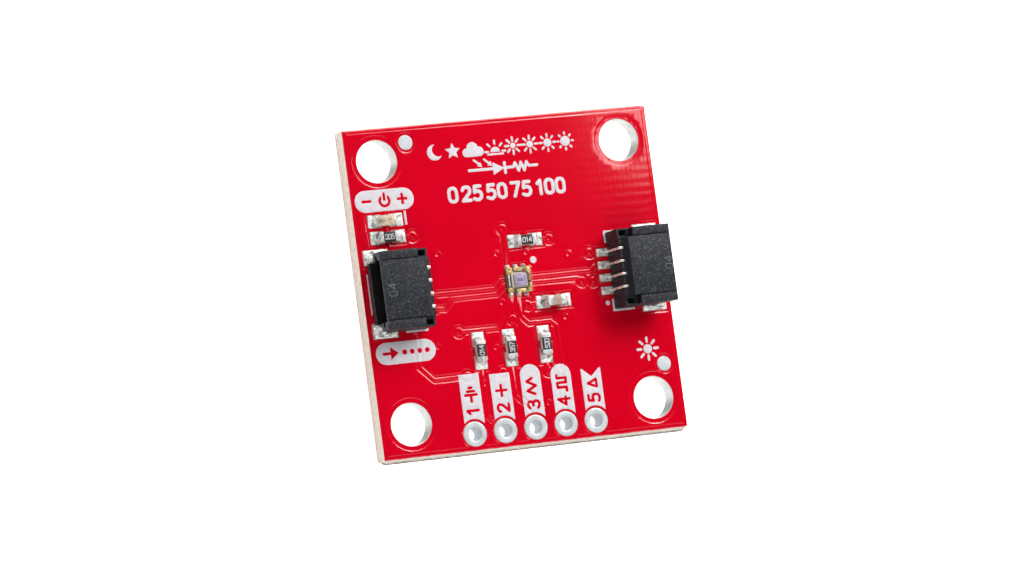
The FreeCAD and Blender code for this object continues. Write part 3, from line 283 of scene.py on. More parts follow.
class Build:
    """Collects bevelled solids into one mesh."""

    def __init__(self):
        self.bm = bmesh.new()

    def _take(self, tmp, mat=0, turn=None):
        for f in tmp.faces:
            f.material_index = mat
        if turn is not None:
            bmesh.ops.transform(tmp, matrix=turn, verts=tmp.verts)
        me = bpy.data.meshes.new("tmp")
        tmp.to_mesh(me)
        tmp.free()
        self.bm.from_mesh(me)
        bpy.data.meshes.remove(me)

    def box(self, x0, x1, y0, y1, z0, z1, r=0.03, seg=2, mat=0, turn=None):
        b = bmesh.new()
        bmesh.ops.create_cube(b, size=1.0)
        for q in b.verts:
            q.co = Vector(((x0 + x1) / 2 + q.co.x * (x1 - x0), (y0 + y1) / 2 + q.co.y * (y1 - y0),
                           (z0 + z1) / 2 + q.co.z * (z1 - z0)))
        if r > 0:
            r = min(r, 0.49 * min(x1 - x0, y1 - y0, z1 - z0))
            bmesh.ops.bevel(b, geom=b.edges[:], offset=r, segments=seg, profile=0.5,
                            affect="EDGES", clamp_overlap=True)
        self._take(b, mat, turn)

    def prism(self, pts, a, b_, axis="z", r=0.02, seg=2, mat=0, turn=None, edges=True):
        """Extrudes an outline between a and b_ along an axis and rounds its edges."""
        b = bmesh.new()
        if axis == "z":
            co = [(x, y, a) for x, y in pts]
            move = Vector((0, 0, b_ - a))
        elif axis == "y":
            co = [(x, a, z) for x, z in pts]
            move = Vector((0, b_ - a, 0))
        else:
            co = [(a, y, z) for y, z in pts]
            move = Vector((b_ - a, 0, 0))
        vs = [b.verts.new(c) for c in co]
        f = b.faces.new(vs)
        out = bmesh.ops.extrude_face_region(b, geom=[f])
        bmesh.ops.translate(b, vec=move, verts=[q for q in out["geom"] if isinstance(q, bmesh.types.BMVert)])
        bmesh.ops.recalc_face_normals(b, faces=b.faces)
        if r > 0:
            bmesh.ops.bevel(b, geom=b.edges[:], offset=r, segments=seg, profile=0.5,
                            affect="EDGES", clamp_overlap=True)
        self._take(b, mat, turn)

    def sheet(self, verts, faces, mat=0, turn=None):
        b = bmesh.new()
        vs = [b.verts.new(c) for c in verts]
        for f in faces:
            try:
                b.faces.new([vs[i] for i in f])
            except ValueError:
                pass
        self._take(b, mat, turn)

    def lathe(self, profile, x=0.0, y=0.0, n=48, mat=0, closed=True):
        verts, faces = [], []
        m = len(profile)
        for k in range(n):
            a = 2 * math.pi * k / n
            verts += [(x + r * math.cos(a), y + r * math.sin(a), z) for r, z in profile]
        for k in range(n):
            k2 = (k + 1) % n
            for i in range(m if closed else m - 1):
                i2 = (i + 1) % m
                faces.append((k * m + i, k * m + i2, k2 * m + i2, k2 * m + i))
        b = bmesh.new()
        vs = [b.verts.new(c) for c in verts]
        for f in faces:
            b.faces.new([vs[i] for i in f])
        bmesh.ops.recalc_face_normals(b, faces=b.faces)
        self._take(b, mat)

    def worm(self, pts, radii, n=12, per=5, mat=0, turn=None):
        """A smooth bead of changing thickness along a line of points."""
        p = np.array(pts, float)
        r = np.array(radii, float)
        ext = np.vstack([2 * p[0] - p[1], p, 2 * p[-1] - p[-2]])
        er = np.concatenate([[r[0]], r, [r[-1]]])
        line, rad = [], []
        for k in range(len(p) - 1):
            for u in np.arange(per) / per:
                w = np.array([-0.5 * u + u * u - 0.5 * u ** 3, 1 - 2.5 * u * u + 1.5 * u ** 3,
                              0.5 * u + 2 * u * u - 1.5 * u ** 3, -0.5 * u * u + 0.5 * u ** 3])
                line.append(w @ ext[k:k + 4])
                rad.append(w @ er[k:k + 4])
        line.append(p[-1])
        rad.append(r[-1])
        line, rad = np.array(line), np.array(rad)
        # rounded ends
        t0, t1 = line[0] - line[1], line[-1] - line[-2]
        t0, t1 = t0 / np.linalg.norm(t0), t1 / np.linalg.norm(t1)
        line = np.vstack([line[0] + t0 * rad[0] * 0.9, line[0] + t0 * rad[0] * 0.6, line,
                          line[-1] + t1 * rad[-1] * 0.6, line[-1] + t1 * rad[-1] * 0.9])
        rad = np.concatenate([[rad[0] * 0.35, rad[0] * 0.8], rad, [rad[-1] * 0.8, rad[-1] * 0.35]])
        tan = np.gradient(line, axis=0)
        tan /= np.linalg.norm(tan, axis=1)[:, None]
        b = bmesh.new()
        rings = []
        for q, t, rr in zip(line, tan, rad):
            side = np.cross(t, (0, 0, 1.0)) if abs(t[2]) < 0.9 else np.cross(t, (1.0, 0, 0))
            side /= np.linalg.norm(side)
            up = np.cross(side, t)
            rings.append([b.verts.new(q + rr * (math.cos(2 * math.pi * k / n) * side + math.sin(2 * math.pi * k / n) * up))
                          for k in range(n)])
        for ra, rb in zip(rings, rings[1:]):
            for k in range(n):
                b.faces.new((ra[k], ra[(k + 1) % n], rb[(k + 1) % n], rb[k]))
        b.faces.new(rings[0])
        b.faces.new(rings[-1])
        bmesh.ops.recalc_face_normals(b, faces=b.faces)
        self._take(b, mat, turn)

    def done(self, name, mats, slot=None, angle=35, wobble=0.0):
        bm = self.bm
        if wobble:
            for q in bm.verts:
                q.co += Vector([random.uniform(-wobble, wobble) for _ in range(3)])
        bmesh.ops.scale(bm, vec=(MM, MM, MM), verts=bm.verts)
        me = bpy.data.meshes.new(name)
        bm.to_mesh(me)
        bm.free()
        ob = bpy.data.objects.new(name, me)
        bpy.context.scene.collection.objects.link(ob)
        for m in mats:
            me.materials.append(m)
        me.polygons.foreach_set("use_smooth", np.ones(len(me.polygons), bool))
        me.set_sharp_from_angle(angle=math.radians(angle))
        me.update()
        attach(ob, "root")
        return ob


def rot_about(x, y, deg, z=0.0):
    return Matrix.Translation((x, y, z)) @ Matrix.Rotation(math.radians(deg), 4, "Z")


# ------------------------------------------------------------------ materials
def material(name, ramp, scale, rough, metal=0.0, bump=0.0, bump_scale=None, spec=0.5, alpha=1.0,
             coat=0.0, detail=3.0, extra=None, rough_var=0.0, noise_w=None, sss=0.0):
    """A Principled material whose colour comes from noise through a ramp [(position, (r, g, b)), ...]."""
    m = bpy.data.materials.new(name)
    m.use_nodes = True
    nt = m.node_tree
    b = nt.nodes["Principled BSDF"]
    tc = nt.nodes.new("ShaderNodeTexCoord")
    n = nt.nodes.new("ShaderNodeTexNoise")
    n.inputs["Scale"].default_value = scale
    n.inputs["Detail"].default_value = detail
    nt.links.new(tc.outputs["Object"], n.inputs["Vector"])
    r = nt.nodes.new("ShaderNodeValToRGB")
    while len(r.color_ramp.elements) < len(ramp):
        r.color_ramp.elements.new(0.5)
    for e, (p, c) in zip(r.color_ramp.elements, ramp):
        e.position = p
        e.color = (*c, 1.0)
    nt.links.new(n.outputs["Fac"], r.inputs["Fac"])
    nt.links.new(r.outputs["Color"], b.inputs["Base Color"])
    b.inputs["Metallic"].default_value = metal
    b.inputs["Roughness"].default_value = rough
    b.inputs["Specular IOR Level"].default_value = spec
    b.inputs["Alpha"].default_value = alpha
    if coat:
        b.inputs["Coat Weight"].default_value = coat
        b.inputs["Coat Roughness"].default_value = 0.1
    if rough_var:
        mr = nt.nodes.new("ShaderNodeMapRange")
        mr.inputs["To Min"].default_value = max(0.02, rough - rough_var)
        mr.inputs["To Max"].default_value = rough + rough_var
        nt.links.new(n.outputs["Fac"], mr.inputs["Value"])
        nt.links.new(mr.outputs["Result"], b.inputs["Roughness"])
    if bump:
        n2 = nt.nodes.new("ShaderNodeTexNoise")
        n2.inputs["Scale"].default_value = bump_scale or scale
        n2.inputs["Detail"].default_value = 4.0
        nt.links.new(tc.outputs["Object"], n2.inputs["Vector"])
        bp = nt.nodes.new("ShaderNodeBump")
        bp.inputs["Strength"].default_value = 1.0
        bp.inputs["Distance"].default_value = bump
        nt.links.new(n2.outputs["Fac"], bp.inputs["Height"])
        nt.links.new(bp.outputs["Normal"], b.inputs["Normal"])
    if sss:
        b.inputs["Subsurface Weight"].default_value = sss
        b.inputs["Subsurface Scale"].default_value = 0.0004
    return m


# ------------------------------------------------------------------ board layout, mm
TOP = 1.6
CHIPS = {
    "led": (-10.12, 5.57, "x"),
    "resistor_1": (-10.08, 4.28, "x"),
    "resistor_2": (1.15, 3.04, "x"),
    "resistor_3": (-3.81, -5.12, "y"),
    "resistor_4": (-1.27, -5.12, "y"),
    "resistor_5": (1.65, -5.12, "y"),
    "capacitor": (2.86, -1.86, "x"),
}
RING_VIAS = [(-8.05, 4.2), (-0.6, 4.1), (3.15, 3.0), (6.4, 1.6), (5.45, -0.55), (6.4, -0.65),
             (0.65, -1.95), (-0.72, -2.98), (-5.3, -3.5), (1.65, -7.2), (-5.1, -6.95),
             (-2.1, -6.95)]
POUR_VIAS = [(-6.25, 2.6), (-1.4, 2.2), (1.05, 2.1), (4.6, 1.65), (-1.45, -1.6), (3.65, -3.2),
             (-2.45, -5.0), (1.3, -9.7), (-7.2, -4.5), (-3.75, -7.7)]
TRACES = [
    [(-7.6, -0.5), (-7.0, -0.45), (-1.91, -0.45), (-1.29, 0.17), (6.25, 0.17), (6.6, 0.5), (7.4, 0.5)],
    [(-7.6, -1.5), (-6.2, -1.62), (-5.5, -0.88), (-1.77, -0.88), (-1.14, -0.25), (5.1, -0.25), (5.45, -0.55)],
    [(-0.6, 4.1), (-0.6, 1.1)],
    [(0.0, -1.1), (0.0, -2.75), (0.6, -3.35), (2.4, -3.35), (2.86, -3.8), (2.86, -6.9),
     (2.54, -7.25), (2.54, -11.0)],
    [(-5.3, -3.5), (-2.05, -3.5), (-0.6, -2.05), (-0.6, -1.1)],
    [(-8.85, -3.6), (-8.85, -5.9), (-7.8, -6.97), (-5.1, -6.95)],
    [(-3.81, -6.0), (-3.78, -10.2), (-2.54, -11.43)],
    [(-1.27, -6.0), (-1.27, -8.85), (0.0, -10.1), (0.0, -11.43)],
    [(1.65, -6.0), (1.65, -7.2)],
    [(-9.0, 4.25), (-8.05, 4.2)],
    [(2.3, 3.04), (3.15, 3.0)],
    [(0.65, -1.95), (1.6, -1.86)],
]
ROWS = (1.5, 0.5, -0.5, -1.5)
PINS = [((k - 2) * 2.54, -11.43) for k in range(5)]
HOLES = [(sx * 10.16, sy * 10.16) for sx in (-1, 1) for sy in (-1, 1)]
FIDUCIALS = [(-7.62, 11.43), (11.43, -7.62)]
PAD_IN, PAD_OUT, PAD_W = 0.32, 1.44, 1.0
SENSOR_X = 0.05


def chip_pad_rects():
    out = []
    for x, y, way in CHIPS.values():
        for s in (-1, 1):
            a, b = sorted((s * PAD_IN, s * PAD_OUT))
            w = PAD_W / 2
            out.append((x + a, y - w, x + b, y + w) if way == "x" else (x - w, y + a, x + w, y + b))
    return out


def socket_pad_rects():
    out = []
    for s in (-1, 1):
        for row in ROWS:
            a, b = sorted((s * 6.98, s * 8.4))
            out.append((a, row - 0.3, b, row + 0.3))
        for t in (-1, 1):
            a, b = sorted((s * 10.25, s * 12.3))
            c, d = sorted((t * 2.22, t * 3.42))
            out.append((a, c, b, d))
    return out


def sensor_pad_rects():
    out = []
    for k in (-1, 0, 1):
        for t in (-1, 1):
            x = SENSOR_X + k * 0.65
            c, d = sorted((t * 0.72, t * 1.24))
            out.append((x - 0.19, c, x + 0.19, d))
    return out


def grown(r, g):
    return (r[0] - g, r[1] - g, r[2] + g, r[3] + g)


# foil under the mask
cu = Field(-13, -13, 13, 13, 0.04)
cu.add(s_rect(-12.4, -12.4, 12.4, 12.4), m=9)
for i, (x, y) in enumerate(HOLES):
    cu.cut(s_ngon(x, y, 2.05, 22, 0.1 * i), m=1.0)
for x, y in PINS:
    cu.cut(s_ngon(x, y, 1.16, 20))
for x, y in FIDUCIALS:
    cu.cut(s_disc(x, y, 0.8))
for x, y in RING_VIAS:
    cu.cut(s_disc(x, y, 0.56))
for path in TRACES:
    for s in s_path(path, 0.6):
        cu.cut(s)
for r in chip_pad_rects() + socket_pad_rects():
    cu.cut(s_rect(*grown(r, 0.2)))
for r in sensor_pad_rects():
    cu.cut(s_rect(*grown(r, 0.15)))
for x, y in RING_VIAS:
    cu.add(s_disc(x, y, 0.31))
for path in TRACES:
    for s in s_path(path, 0.2):
        cu.add(s)
for r in chip_pad_rects() + socket_pad_rects() + sensor_pad_rects():
    cu.add(s_rect(*r))
for x, y in PINS:
    cu.add(s_disc(x, y, 0.94))
for x, y in FIDUCIALS:
    cu.add(s_disc(x, y, 0.56))
# first header hole is tied to the pour by three spokes
for dx, dy in ((-1, 0), (1, 0), (0, 1)):
    x, y = PINS[0]
    cu.add(s_line(x, y, x + 1.3 * dx, y + 1.3 * dy, 0.4))

# windows in the mask
win = Field(-13, -13, 13, 13, 0.04)
for x, y in HOLES:
    win.add(s_disc(x, y, 1.685))
for x, y in PINS:
    win.add(s_disc(x, y, 0.985))
for x, y in FIDUCIALS:
    win.add(s_disc(x, y, 0.6))
for r in chip_pad_rects() + socket_pad_rects() + sensor_pad_rects():
    win.add(s_rect(*grown(r, 0.03), r=0.03))


def outline(inset=0.0, rag=0.0):
    """The board's edge from above, with its small corner radii."""
    e = 12.7 - inset
    pts = []
    for cx, cy, r, a0 in ((1, -1, 0.22, -90), (1, 1, 0.1, 0), (-1, 1, 0.05, 90), (-1, -1, 0.06, 180)):
        for k in range(5):
            a = math.radians(a0 + 22.5 * k)
            pts.append((cx * (e - r) + r * math.cos(a), cy * (e - r) + r * math.sin(a)))
    out = []
    for (ax, ay), (bx, by) in zip(pts, pts[1:] + pts[:1]):
        n = max(1, int(math.hypot(bx - ax, by - ay) / 0.25))
        for k in range(n):
            u = k / n
            x, y = ax + (bx - ax) * u, ay + (by - ay) * u
            if rag and n > 3:
                y += (rag if ay < 0 and by < 0 else rag * 0.4) * random.uniform(-1, 1) if abs(ay - by) < 0.5 else 0
            out.append((x, y))
    return out


edge = Field(-13, -13, 13, 13, 0.04)
edge.add(s_poly(outline(rag=0.018)), m=9)


def step(t):
    t = np.clip(t, 0, 1)
    return t * t * (3 - 2 * t)


LOW, HIGH = 1.573, 1.6


def mask_z(x, y):
    x, y = np.asarray(x, float), np.asarray(y, float)
    calm = 1.0 - np.exp(-(((x + 0.3) / 0.6) ** 8 + ((y + 1.72) / 0.6) ** 8))
    z = HIGH - (HIGH - LOW) * calm * step((cu.at(x, y) + 0.055) / 0.11)
    for vx, vy in RING_VIAS:
        d = np.hypot(x - vx, y - vy)
        z = z - 0.027 * np.exp(-(d / 0.1) ** 2)
    for vx, vy in POUR_VIAS:
        d = np.hypot(x - vx, y - vy)
        z = z - 0.029 * np.exp(-(d / 0.1) ** 2) + 0.02 * np.exp(-((d - 0.23) / 0.075) ** 2)
    o = win.at(x, y)
    z = 1.57 + (z - 1.57) * step((o + 0.005) / 0.045)
    e = -edge.at(x, y)
    z = z - 0.03 * (1 - step(e / 0.08))
    return z


def via_rings():
    out = []
    for vx, vy in RING_VIAS:
        for r in (0.06, 0.12, 0.19):
            out.append((np.array([(vx + r * math.cos(a), vy + r * math.sin(a))
                                  for a in np.linspace(0, 2 * math.pi, 15)[:-1]]), True))
    for vx, vy in POUR_VIAS:
        for r in (0.07, 0.14, 0.22, 0.27, 0.33, 0.4):
            out.append((np.array([(vx + r * math.cos(a), vy + r * math.sin(a))
                                  for a in np.linspace(0, 2 * math.pi, 19)[:-1]]), True))
    return out


lines = lines_of(cu, (-0.05, -0.022, 0.0, 0.022, 0.05), 0.004)
lines += lines_of(win, (0.0, 0.02, 0.04), 0.003)
lines += lines_of(edge, (-0.09, -0.05, -0.02, 0.0), 0.003)
lines += via_rings()
gx0, gy0 = np.meshgrid(np.arange(-12.6, 12.65, 0.4), np.arange(-12.6, 12.65, 0.4))
loose = np.stack([gx0.ravel(), gy0.ravel()], 1) + rng.uniform(-0.05, 0.05, (gx0.size, 2))
ok = (np.abs(cu.at(loose[:, 0], loose[:, 1])) > 0.09) & (edge.at(loose[:, 0], loose[:, 1]) < -0.12)
loose = loose[ok]
v2, t2 = triangulate(lines, loose, lambda x, y: (edge.at(x, y) < 0.0) & (win.at(x, y) > 0.0))
v3 = np.column_stack([v2, mask_z(v2[:, 0], v2[:, 1])])
mask_v, mask_f = skirt(v3, t2, 1.537)

# ------------------------------------------------------------------ print
DIGITS = {
    "0": [[(0.2, 0.0), (0.4, 0.0), (0.55, 0.1), (0.6, 0.28), (0.6, 0.72), (0.55, 0.9), (0.4, 1.0), (0.2, 1.0),
           (0.05, 0.9), (0.0, 0.72), (0.0, 0.28), (0.05, 0.1), (0.2, 0.0)]],
    "1": [[(0.1, 0.78), (0.34, 1.0), (0.34, 0.0)]],
    "2": [[(0.0, 0.78), (0.06, 0.92), (0.2, 1.0), (0.42, 1.0), (0.55, 0.92), (0.6, 0.76), (0.54, 0.55), (0.0, 0.0),
           (0.6, 0.0)]],
    "3": [[(0.02, 0.87), (0.2, 1.0), (0.4, 1.0), (0.54, 0.9), (0.57, 0.75), (0.5, 0.6), (0.36, 0.54), (0.22, 0.54)],
          [(0.36, 0.54), (0.53, 0.46), (0.6, 0.3), (0.55, 0.1), (0.4, 0.0), (0.18, 0.0), (0.0, 0.13)]],
    "4": [[(0.48, 0.0), (0.48, 1.0), (0.0, 0.32), (0.64, 0.32)]],
    "5": [[(0.55, 1.0), (0.1, 1.0), (0.06, 0.56), (0.22, 0.62), (0.4, 0.62), (0.55, 0.52), (0.6, 0.34), (0.55, 0.12),
           (0.38, 0.0), (0.18, 0.0), (0.0, 0.08)]],
    "7": [[(0.0, 1.0), (0.6, 1.0), (0.2, 0.0)]],
}
SYMBOLS = [
    [[(1.0, 0.5), (1.55, 0.5)], [(1.55, 0.0), (1.55, 1.0)], [(1.85, 0.2), (1.85, 0.8)],
     [(2.15, 0.38), (2.15, 0.62)]],
    [[(1.2, 0.5), (2.1, 0.5)], [(1.65, 0.05), (1.65, 0.95)]],
    [[(1.05, 0.25), (1.35, 0.9), (1.75, 0.1), (2.15, 0.9), (2.4, 0.4)]],
    [[(1.05, 0.1), (1.35, 0.1), (1.35, 0.9), (1.75, 0.9), (1.75, 0.1), (2.15, 0.1),
      (2.15, 0.9), (2.4, 0.9)]],
    [[(1.1, 0.12), (1.75, 0.12), (1.43, 0.9), (1.1, 0.12)]],
]
ink = Field(-13, -13, 13, 13, 0.03)


def glyph(paths, w, x, y, size, turn):
    """Stroked lines in a unit cell, scaled, turned about the cell's origin and set down."""
    c, s = math.cos(math.radians(turn)), math.sin(math.radians(turn))
    out = []
    for path in paths:
        q = [(x + size * (u * c - v * s), y + size * (u * s + v * c)) for u, v in path]
        out += s_path(q, w)
    return out


def stadium(x0, x1, yc, w):
    return s_rect(x0, yc - w / 2, x1, yc + w / 2, r=w / 2 - 1e-3)


def sun(x, y, r, r0, r1, w, half=False, n=8):
    out = [s_disc(x, y, r)]
    for k in range(n):
        a = 2 * math.pi * k / n
        if half and math.sin(a) < -0.01:
            continue
        out.append(s_line(x + r0 * math.cos(a), y + r0 * math.sin(a),
                          x + r1 * math.cos(a), y + r1 * math.sin(a), w))
    return out


ink.add(stadium(-12.4, -7.55, 7.15, 1.68))
ring = Field(-11, 6, -9, 8.2, 0.03)
ring.add(s_disc(-9.97, 7.08, 0.5))
ring.cut(s_disc(-9.97, 7.08, 0.28))
ring.cut(s_rect(-10.2, 7.2, -9.74, 8.5))
ring.add(s_rect(-10.07, 7.1, -9.87, 7.75))
ink.cut((lambda X, Y: ring.at(X, Y), (-10.6, 6.4, -9.3, 7.8)), m=0.2)
for s in (s_rect(-8.93, 7.04, -8.07, 7.26), s_rect(-8.61, 6.72, -8.39, 7.58), s_rect(-11.85, 7.04, -11.05, 7.26)):
    ink.cut(s)
ink.add(stadium(-12.3, -7.4, -4.6, 1.7))
ink.cut(s_poly([(-11.75, -4.49), (-11.1, -4.49), (-11.1, -4.1), (-10.45, -4.6),
                (-11.1, -5.1), (-11.1, -4.71), (-11.75, -4.71)]))
for k in range(4):
    ink.cut(s_disc(-9.95 + 0.62 * k, -4.6, 0.2))
tops = (-6.8, -7.0, -6.55, -6.78, -7.35)
for k in range(5):
    x, w = (k - 2) * 2.54 + 0.06, 1.67
    if k in (2, 3):
        ink.add(s_rect(x - w / 2, -11.6, x + w / 2, tops[k], r=w / 2 - 1e-3))
        ink.add(s_rect(x - w / 2, -11.6, x + w / 2, tops[k] - w / 2))
    else:
        ink.add(s_rect(x - w / 2, -11.6, x + w / 2, tops[k]))
    if k == 4:
        ink.cut(s_poly([(x - w / 2 + 0.02, tops[k] + 0.05), (x + w / 2 - 0.02, tops[k] + 0.05), (x, -8.0)]))
    ink.cut(s_disc((k - 2) * 2.54, -11.43, 1.16), m=1.0)
    ink.cut(s_rect(x - w / 2 - 0.1, -12.9, x + w / 2 + 0.1, -11.2), m=0.3)
    for s in glyph(DIGITS[str(k + 1)], 0.22, x + 0.46, -9.95, 0.92, 90):
        ink.cut(s)
    for s in glyph(SYMBOLS[k], 0.22 if k != 4 else 0.2, x + 0.46, -9.85, 0.92, 90):
        ink.cut(s)
for s in (-1, 1):
    for t in (-1, 1):
        ink.add(s_rect(min(s * 7.76, s * 7.93), min(t * 2.2, t * 3.16), max(s * 7.76, s * 7.93), max(t * 2.2, t * 3.16)))
        ink.add(s_rect(min(s * 7.76, s * 9.6), min(t * 2.99, t * 3.16), max(s * 7.76, s * 9.6), max(t * 2.99, t * 3.16)))
    ink.add(s_rect(min(s * 12.12, s * 12.24), -1.55, max(s * 12.12, s * 12.24), 1.6))
    ink.add(s_disc(s * 7.38, -s * 2.46, 0.19))
ink.add(s_rect(-8.53, 5.12, -8.35, 6.2))
ink.add(s_disc(1.62, 1.47, 0.27))
ink.add(s_disc(-5.35, 10.45, 0.62))
ink.cut(s_disc(-5.05, 10.62, 0.5))
ink.add(s_poly([(-3.85 + (0.66 if k % 2 == 0 else 0.3) * math.cos(math.radians(90 + 36 * k)),
                 10.42 + (0.66 if k % 2 == 0 else 0.3) * math.sin(math.radians(90 + 36 * k))) for k in range(10)]))
for s in (s_disc(-2.72, 10.2, 0.34), s_disc(-2.2, 10.52, 0.48), s_disc(-1.66, 10.24, 0.38),
          s_rect(-2.72, 9.86, -1.66, 10.3)):
    ink.add(s)
ink.add(s_disc(-0.32, 10.08, 0.4))
ink.cut(s_rect(-1.2, 9.0, 0.6, 10.08))
ink.add(s_rect(-1.02, 9.84, 0.38, 9.99))
for s in sun(-0.32, 10.12, 0.1, 0.6, 0.84, 0.17, half=True)[1:]:
    ink.add(s)
for x, r in ((1.2, 0.22), (2.62, 0.27), (4.12, 0.33), (5.62, 0.4)):
    for s in sun(x, 10.45, r, r + 0.16, 0.66, 0.17):
        ink.add(s)
for s in (s_path([(-2.7, 8.8), (-0.6, 8.8)], 0.22) + [s_poly([(-0.7, 8.3), (-0.7, 9.3), (0.25, 8.8)])]
          + s_path([(0.3, 8.42), (0.3, 9.18)], 0.24)
          + s_path([(0.3, 8.8), (1.0, 8.8), (1.18, 9.12), (1.42, 8.48), (1.66, 9.12), (1.9, 8.48), (2.14, 9.12),
                    (2.3, 8.8), (3.0, 8.8)], 0.22)):
    ink.add(s)
for x in (-2.2, -1.35):
    for s in s_path([(x, 9.58), (x + 0.4, 9.22)], 0.17) + [s_poly([(x + 0.64, 9.0), (x + 0.5, 9.42), (x + 0.2, 9.1)])]:
        ink.add(s)
x = -4.62
for word in ("0", "25", "50", "75", "100"):
    for ch in word:
        for s in glyph(DIGITS[ch], 0.27, x, 6.52, 1.04, 0):
            ink.add(s)
        x += 0.93 if ch != "1" else 0.78
    x += 0.2
for s in sun(10.2, -6.35, 0.36, 0.56, 0.86, 0.2):
    ink.add(s)
# a slightly uneven edge, as a screen leaves it
wob = rng.normal(0, 1, (180, 180))
wf = Field(-13, -13, 13, 13, 26 / 179)
wf.f = wob
ink.f = ink.f + 0.006 * wf.at(ink.X, ink.Y)

lines = lines_of(ink, (0.0, -0.02, -0.045), 0.004)
lines += [(p, c) for p, c in lines_of(cu, (-0.05, 0.0, 0.05), 0.006)
          if len(p) > 3 and np.min(ink.at(p[:, 0], p[:, 1])) < 0]
gx1, gy1 = np.meshgrid(np.arange(-12.5, 12.5, 0.3), np.arange(-12.5, 12.5, 0.3))
loose = np.stack([gx1.ravel(), gy1.ravel()], 1)
loose = loose[ink.at(loose[:, 0], loose[:, 1]) < -0.08]
v2, t2 = triangulate(lines, loose, lambda x, y: (ink.at(x, y) < 0.0) & (win.at(x, y) > 0.0))
lift = 0.015 * step((-ink.at(v2[:, 0], v2[:, 1])) / 0.045) + 0.002
v3 = np.column_stack([v2, mask_z(v2[:, 0], v2[:, 1]) + lift])
ink_v, ink_f = skirt(v3, t2, 1.575)


# ------------------------------------------------------------------ finishes
def mask_material(name):
    m = material(name, [(0.35, (0.64, 0.0, 0.014)), (0.65, (0.59, 0.0, 0.012))], 180, 0.14, spec=0.5)
    nt = m.node_tree
    b = nt.nodes["Principled BSDF"]
    tc = [n for n in nt.nodes if n.type == "TEX_COORD"][0]
    # the weave of the glass cloth telegraphs faintly through the film
    waves = []
    for direction, pitch in (("X", 760), ("Y", 470)):
        w = nt.nodes.new("ShaderNodeTexWave")
        w.wave_type = "BANDS"
        w.bands_direction = direction
        w.inputs["Scale"].default_value = pitch
        w.inputs["Distortion"].default_value = 1.6
        w.inputs["Detail"].default_value = 2.0
        w.inputs["Detail Scale"].default_value = 1.5
        nt.links.new(tc.outputs["Object"], w.inputs["Vector"])
        waves.append(w)
    add = nt.nodes.new("ShaderNodeMath")
    add.operation = "MULTIPLY_ADD"
    add.inputs[1].default_value = 0.35
    nt.links.new(waves[0].outputs["Fac"], add.inputs[0])
    nt.links.new(waves[1].outputs["Fac"], add.inputs[2])
    n2 = nt.nodes.new("ShaderNodeTexNoise")
    n2.inputs["Scale"].default_value = 900
    nt.links.new(tc.outputs["Object"], n2.inputs["Vector"])
    mul = nt.nodes.new("ShaderNodeMath")
    mul.operation = "MULTIPLY_ADD"
    mul.inputs[1].default_value = 1.2
    nt.links.new(n2.outputs["Fac"], mul.inputs[0])
    nt.links.new(add.outputs[0], mul.inputs[2])
    bp = nt.nodes.new("ShaderNodeBump")
    bp.inputs["Strength"].default_value = 1.0
    bp.inputs["Distance"].default_value = 0.0000030
    nt.links.new(mul.outputs[0], bp.inputs["Height"])
    nt.links.new(bp.outputs["Normal"], b.inputs["Normal"])
    return m


M_MASK = mask_material("mask_film")
M_INK = material("screen_ink", [(0.3, (0.60, 0.56, 0.60)), (0.7, (0.69, 0.66, 0.69))], 2500, 0.55, bump=0.000004,
                 bump_scale=6000)
M_COPPER = material("foil", [(0.3, (0.72, 0.40, 0.26)), (0.7, (0.80, 0.50, 0.34))], 800, 0.35, metal=1.0,
                    bump=0.000002, bump_scale=3000)
M_TIN = material("tin", [(0.36, (0.36, 0.38, 0.36)), (0.5, (0.62, 0.63, 0.61)), (0.64, (0.80, 0.81, 0.79))], 3400, 0.40,
                 metal=0.30, bump=0.000014, bump_scale=3000, rough_var=0.1)
M_RING = material("tinned_ring", [(0.3, (0.56, 0.59, 0.61)), (0.7, (0.68, 0.71, 0.73))], 1400, 0.42, metal=0.30,
                  bump=0.000006, bump_scale=1500, rough_var=0.06)
M_SOLDER = material("solder", [(0.36, (0.26, 0.28, 0.25)), (0.45, (0.68, 0.70, 0.67)), (0.54, (0.95, 0.96, 0.94))], 3000, 0.32,
                    metal=0.35, bump=0.000026, bump_scale=2800, rough_var=0.12)
M_SHELL = material("housing", [(0.38, (0.014, 0.0155, 0.019)), (0.54, (0.024, 0.026, 0.031)), (0.66, (0.062, 0.066, 0.075))],
                   7200, 0.5, spec=0.2, bump=0.00002, bump_scale=4800, detail=3.0)
# painted shade: a darker copy of the housing plastic for the faces inside each socket's mouth, standing in for the
# shade there
M_MOUTH_SHADE = material("housing_mouth_painted_shade", [(0.3, (0.006, 0.006, 0.006)), (0.7, (0.014, 0.013, 0.012))], 3000, 0.6, spec=0.1)
M_CONTACT = material("contact", [(0.38, (0.44, 0.36, 0.30)), (0.5, (0.86, 0.80, 0.74)), (0.62, (0.95, 0.93, 0.90))], 3600, 0.35,
                     metal=0.3, bump=0.00003, bump_scale=3600)
M_LAM = material("laminate", [(0.3, (0.60, 0.50, 0.41)), (0.7, (0.76, 0.68, 0.59))], 2600, 0.6, bump=0.00001,
                 bump_scale=5200, detail=6.0)
M_SNAP = material("snapped_web", [(0.3, (0.17, 0.145, 0.13)), (0.7, (0.36, 0.32, 0.28))], 3600, 0.7, bump=0.00002,
                  bump_scale=7000, detail=6.0)
M_WALL_SHADED = material("drilled_wall_painted_shade", [(0.3, (0.62, 0.63, 0.61)), (0.7, (0.80, 0.80, 0.78))], 2200, 0.32, metal=0.25,
                  bump=0.00002, bump_scale=3800)
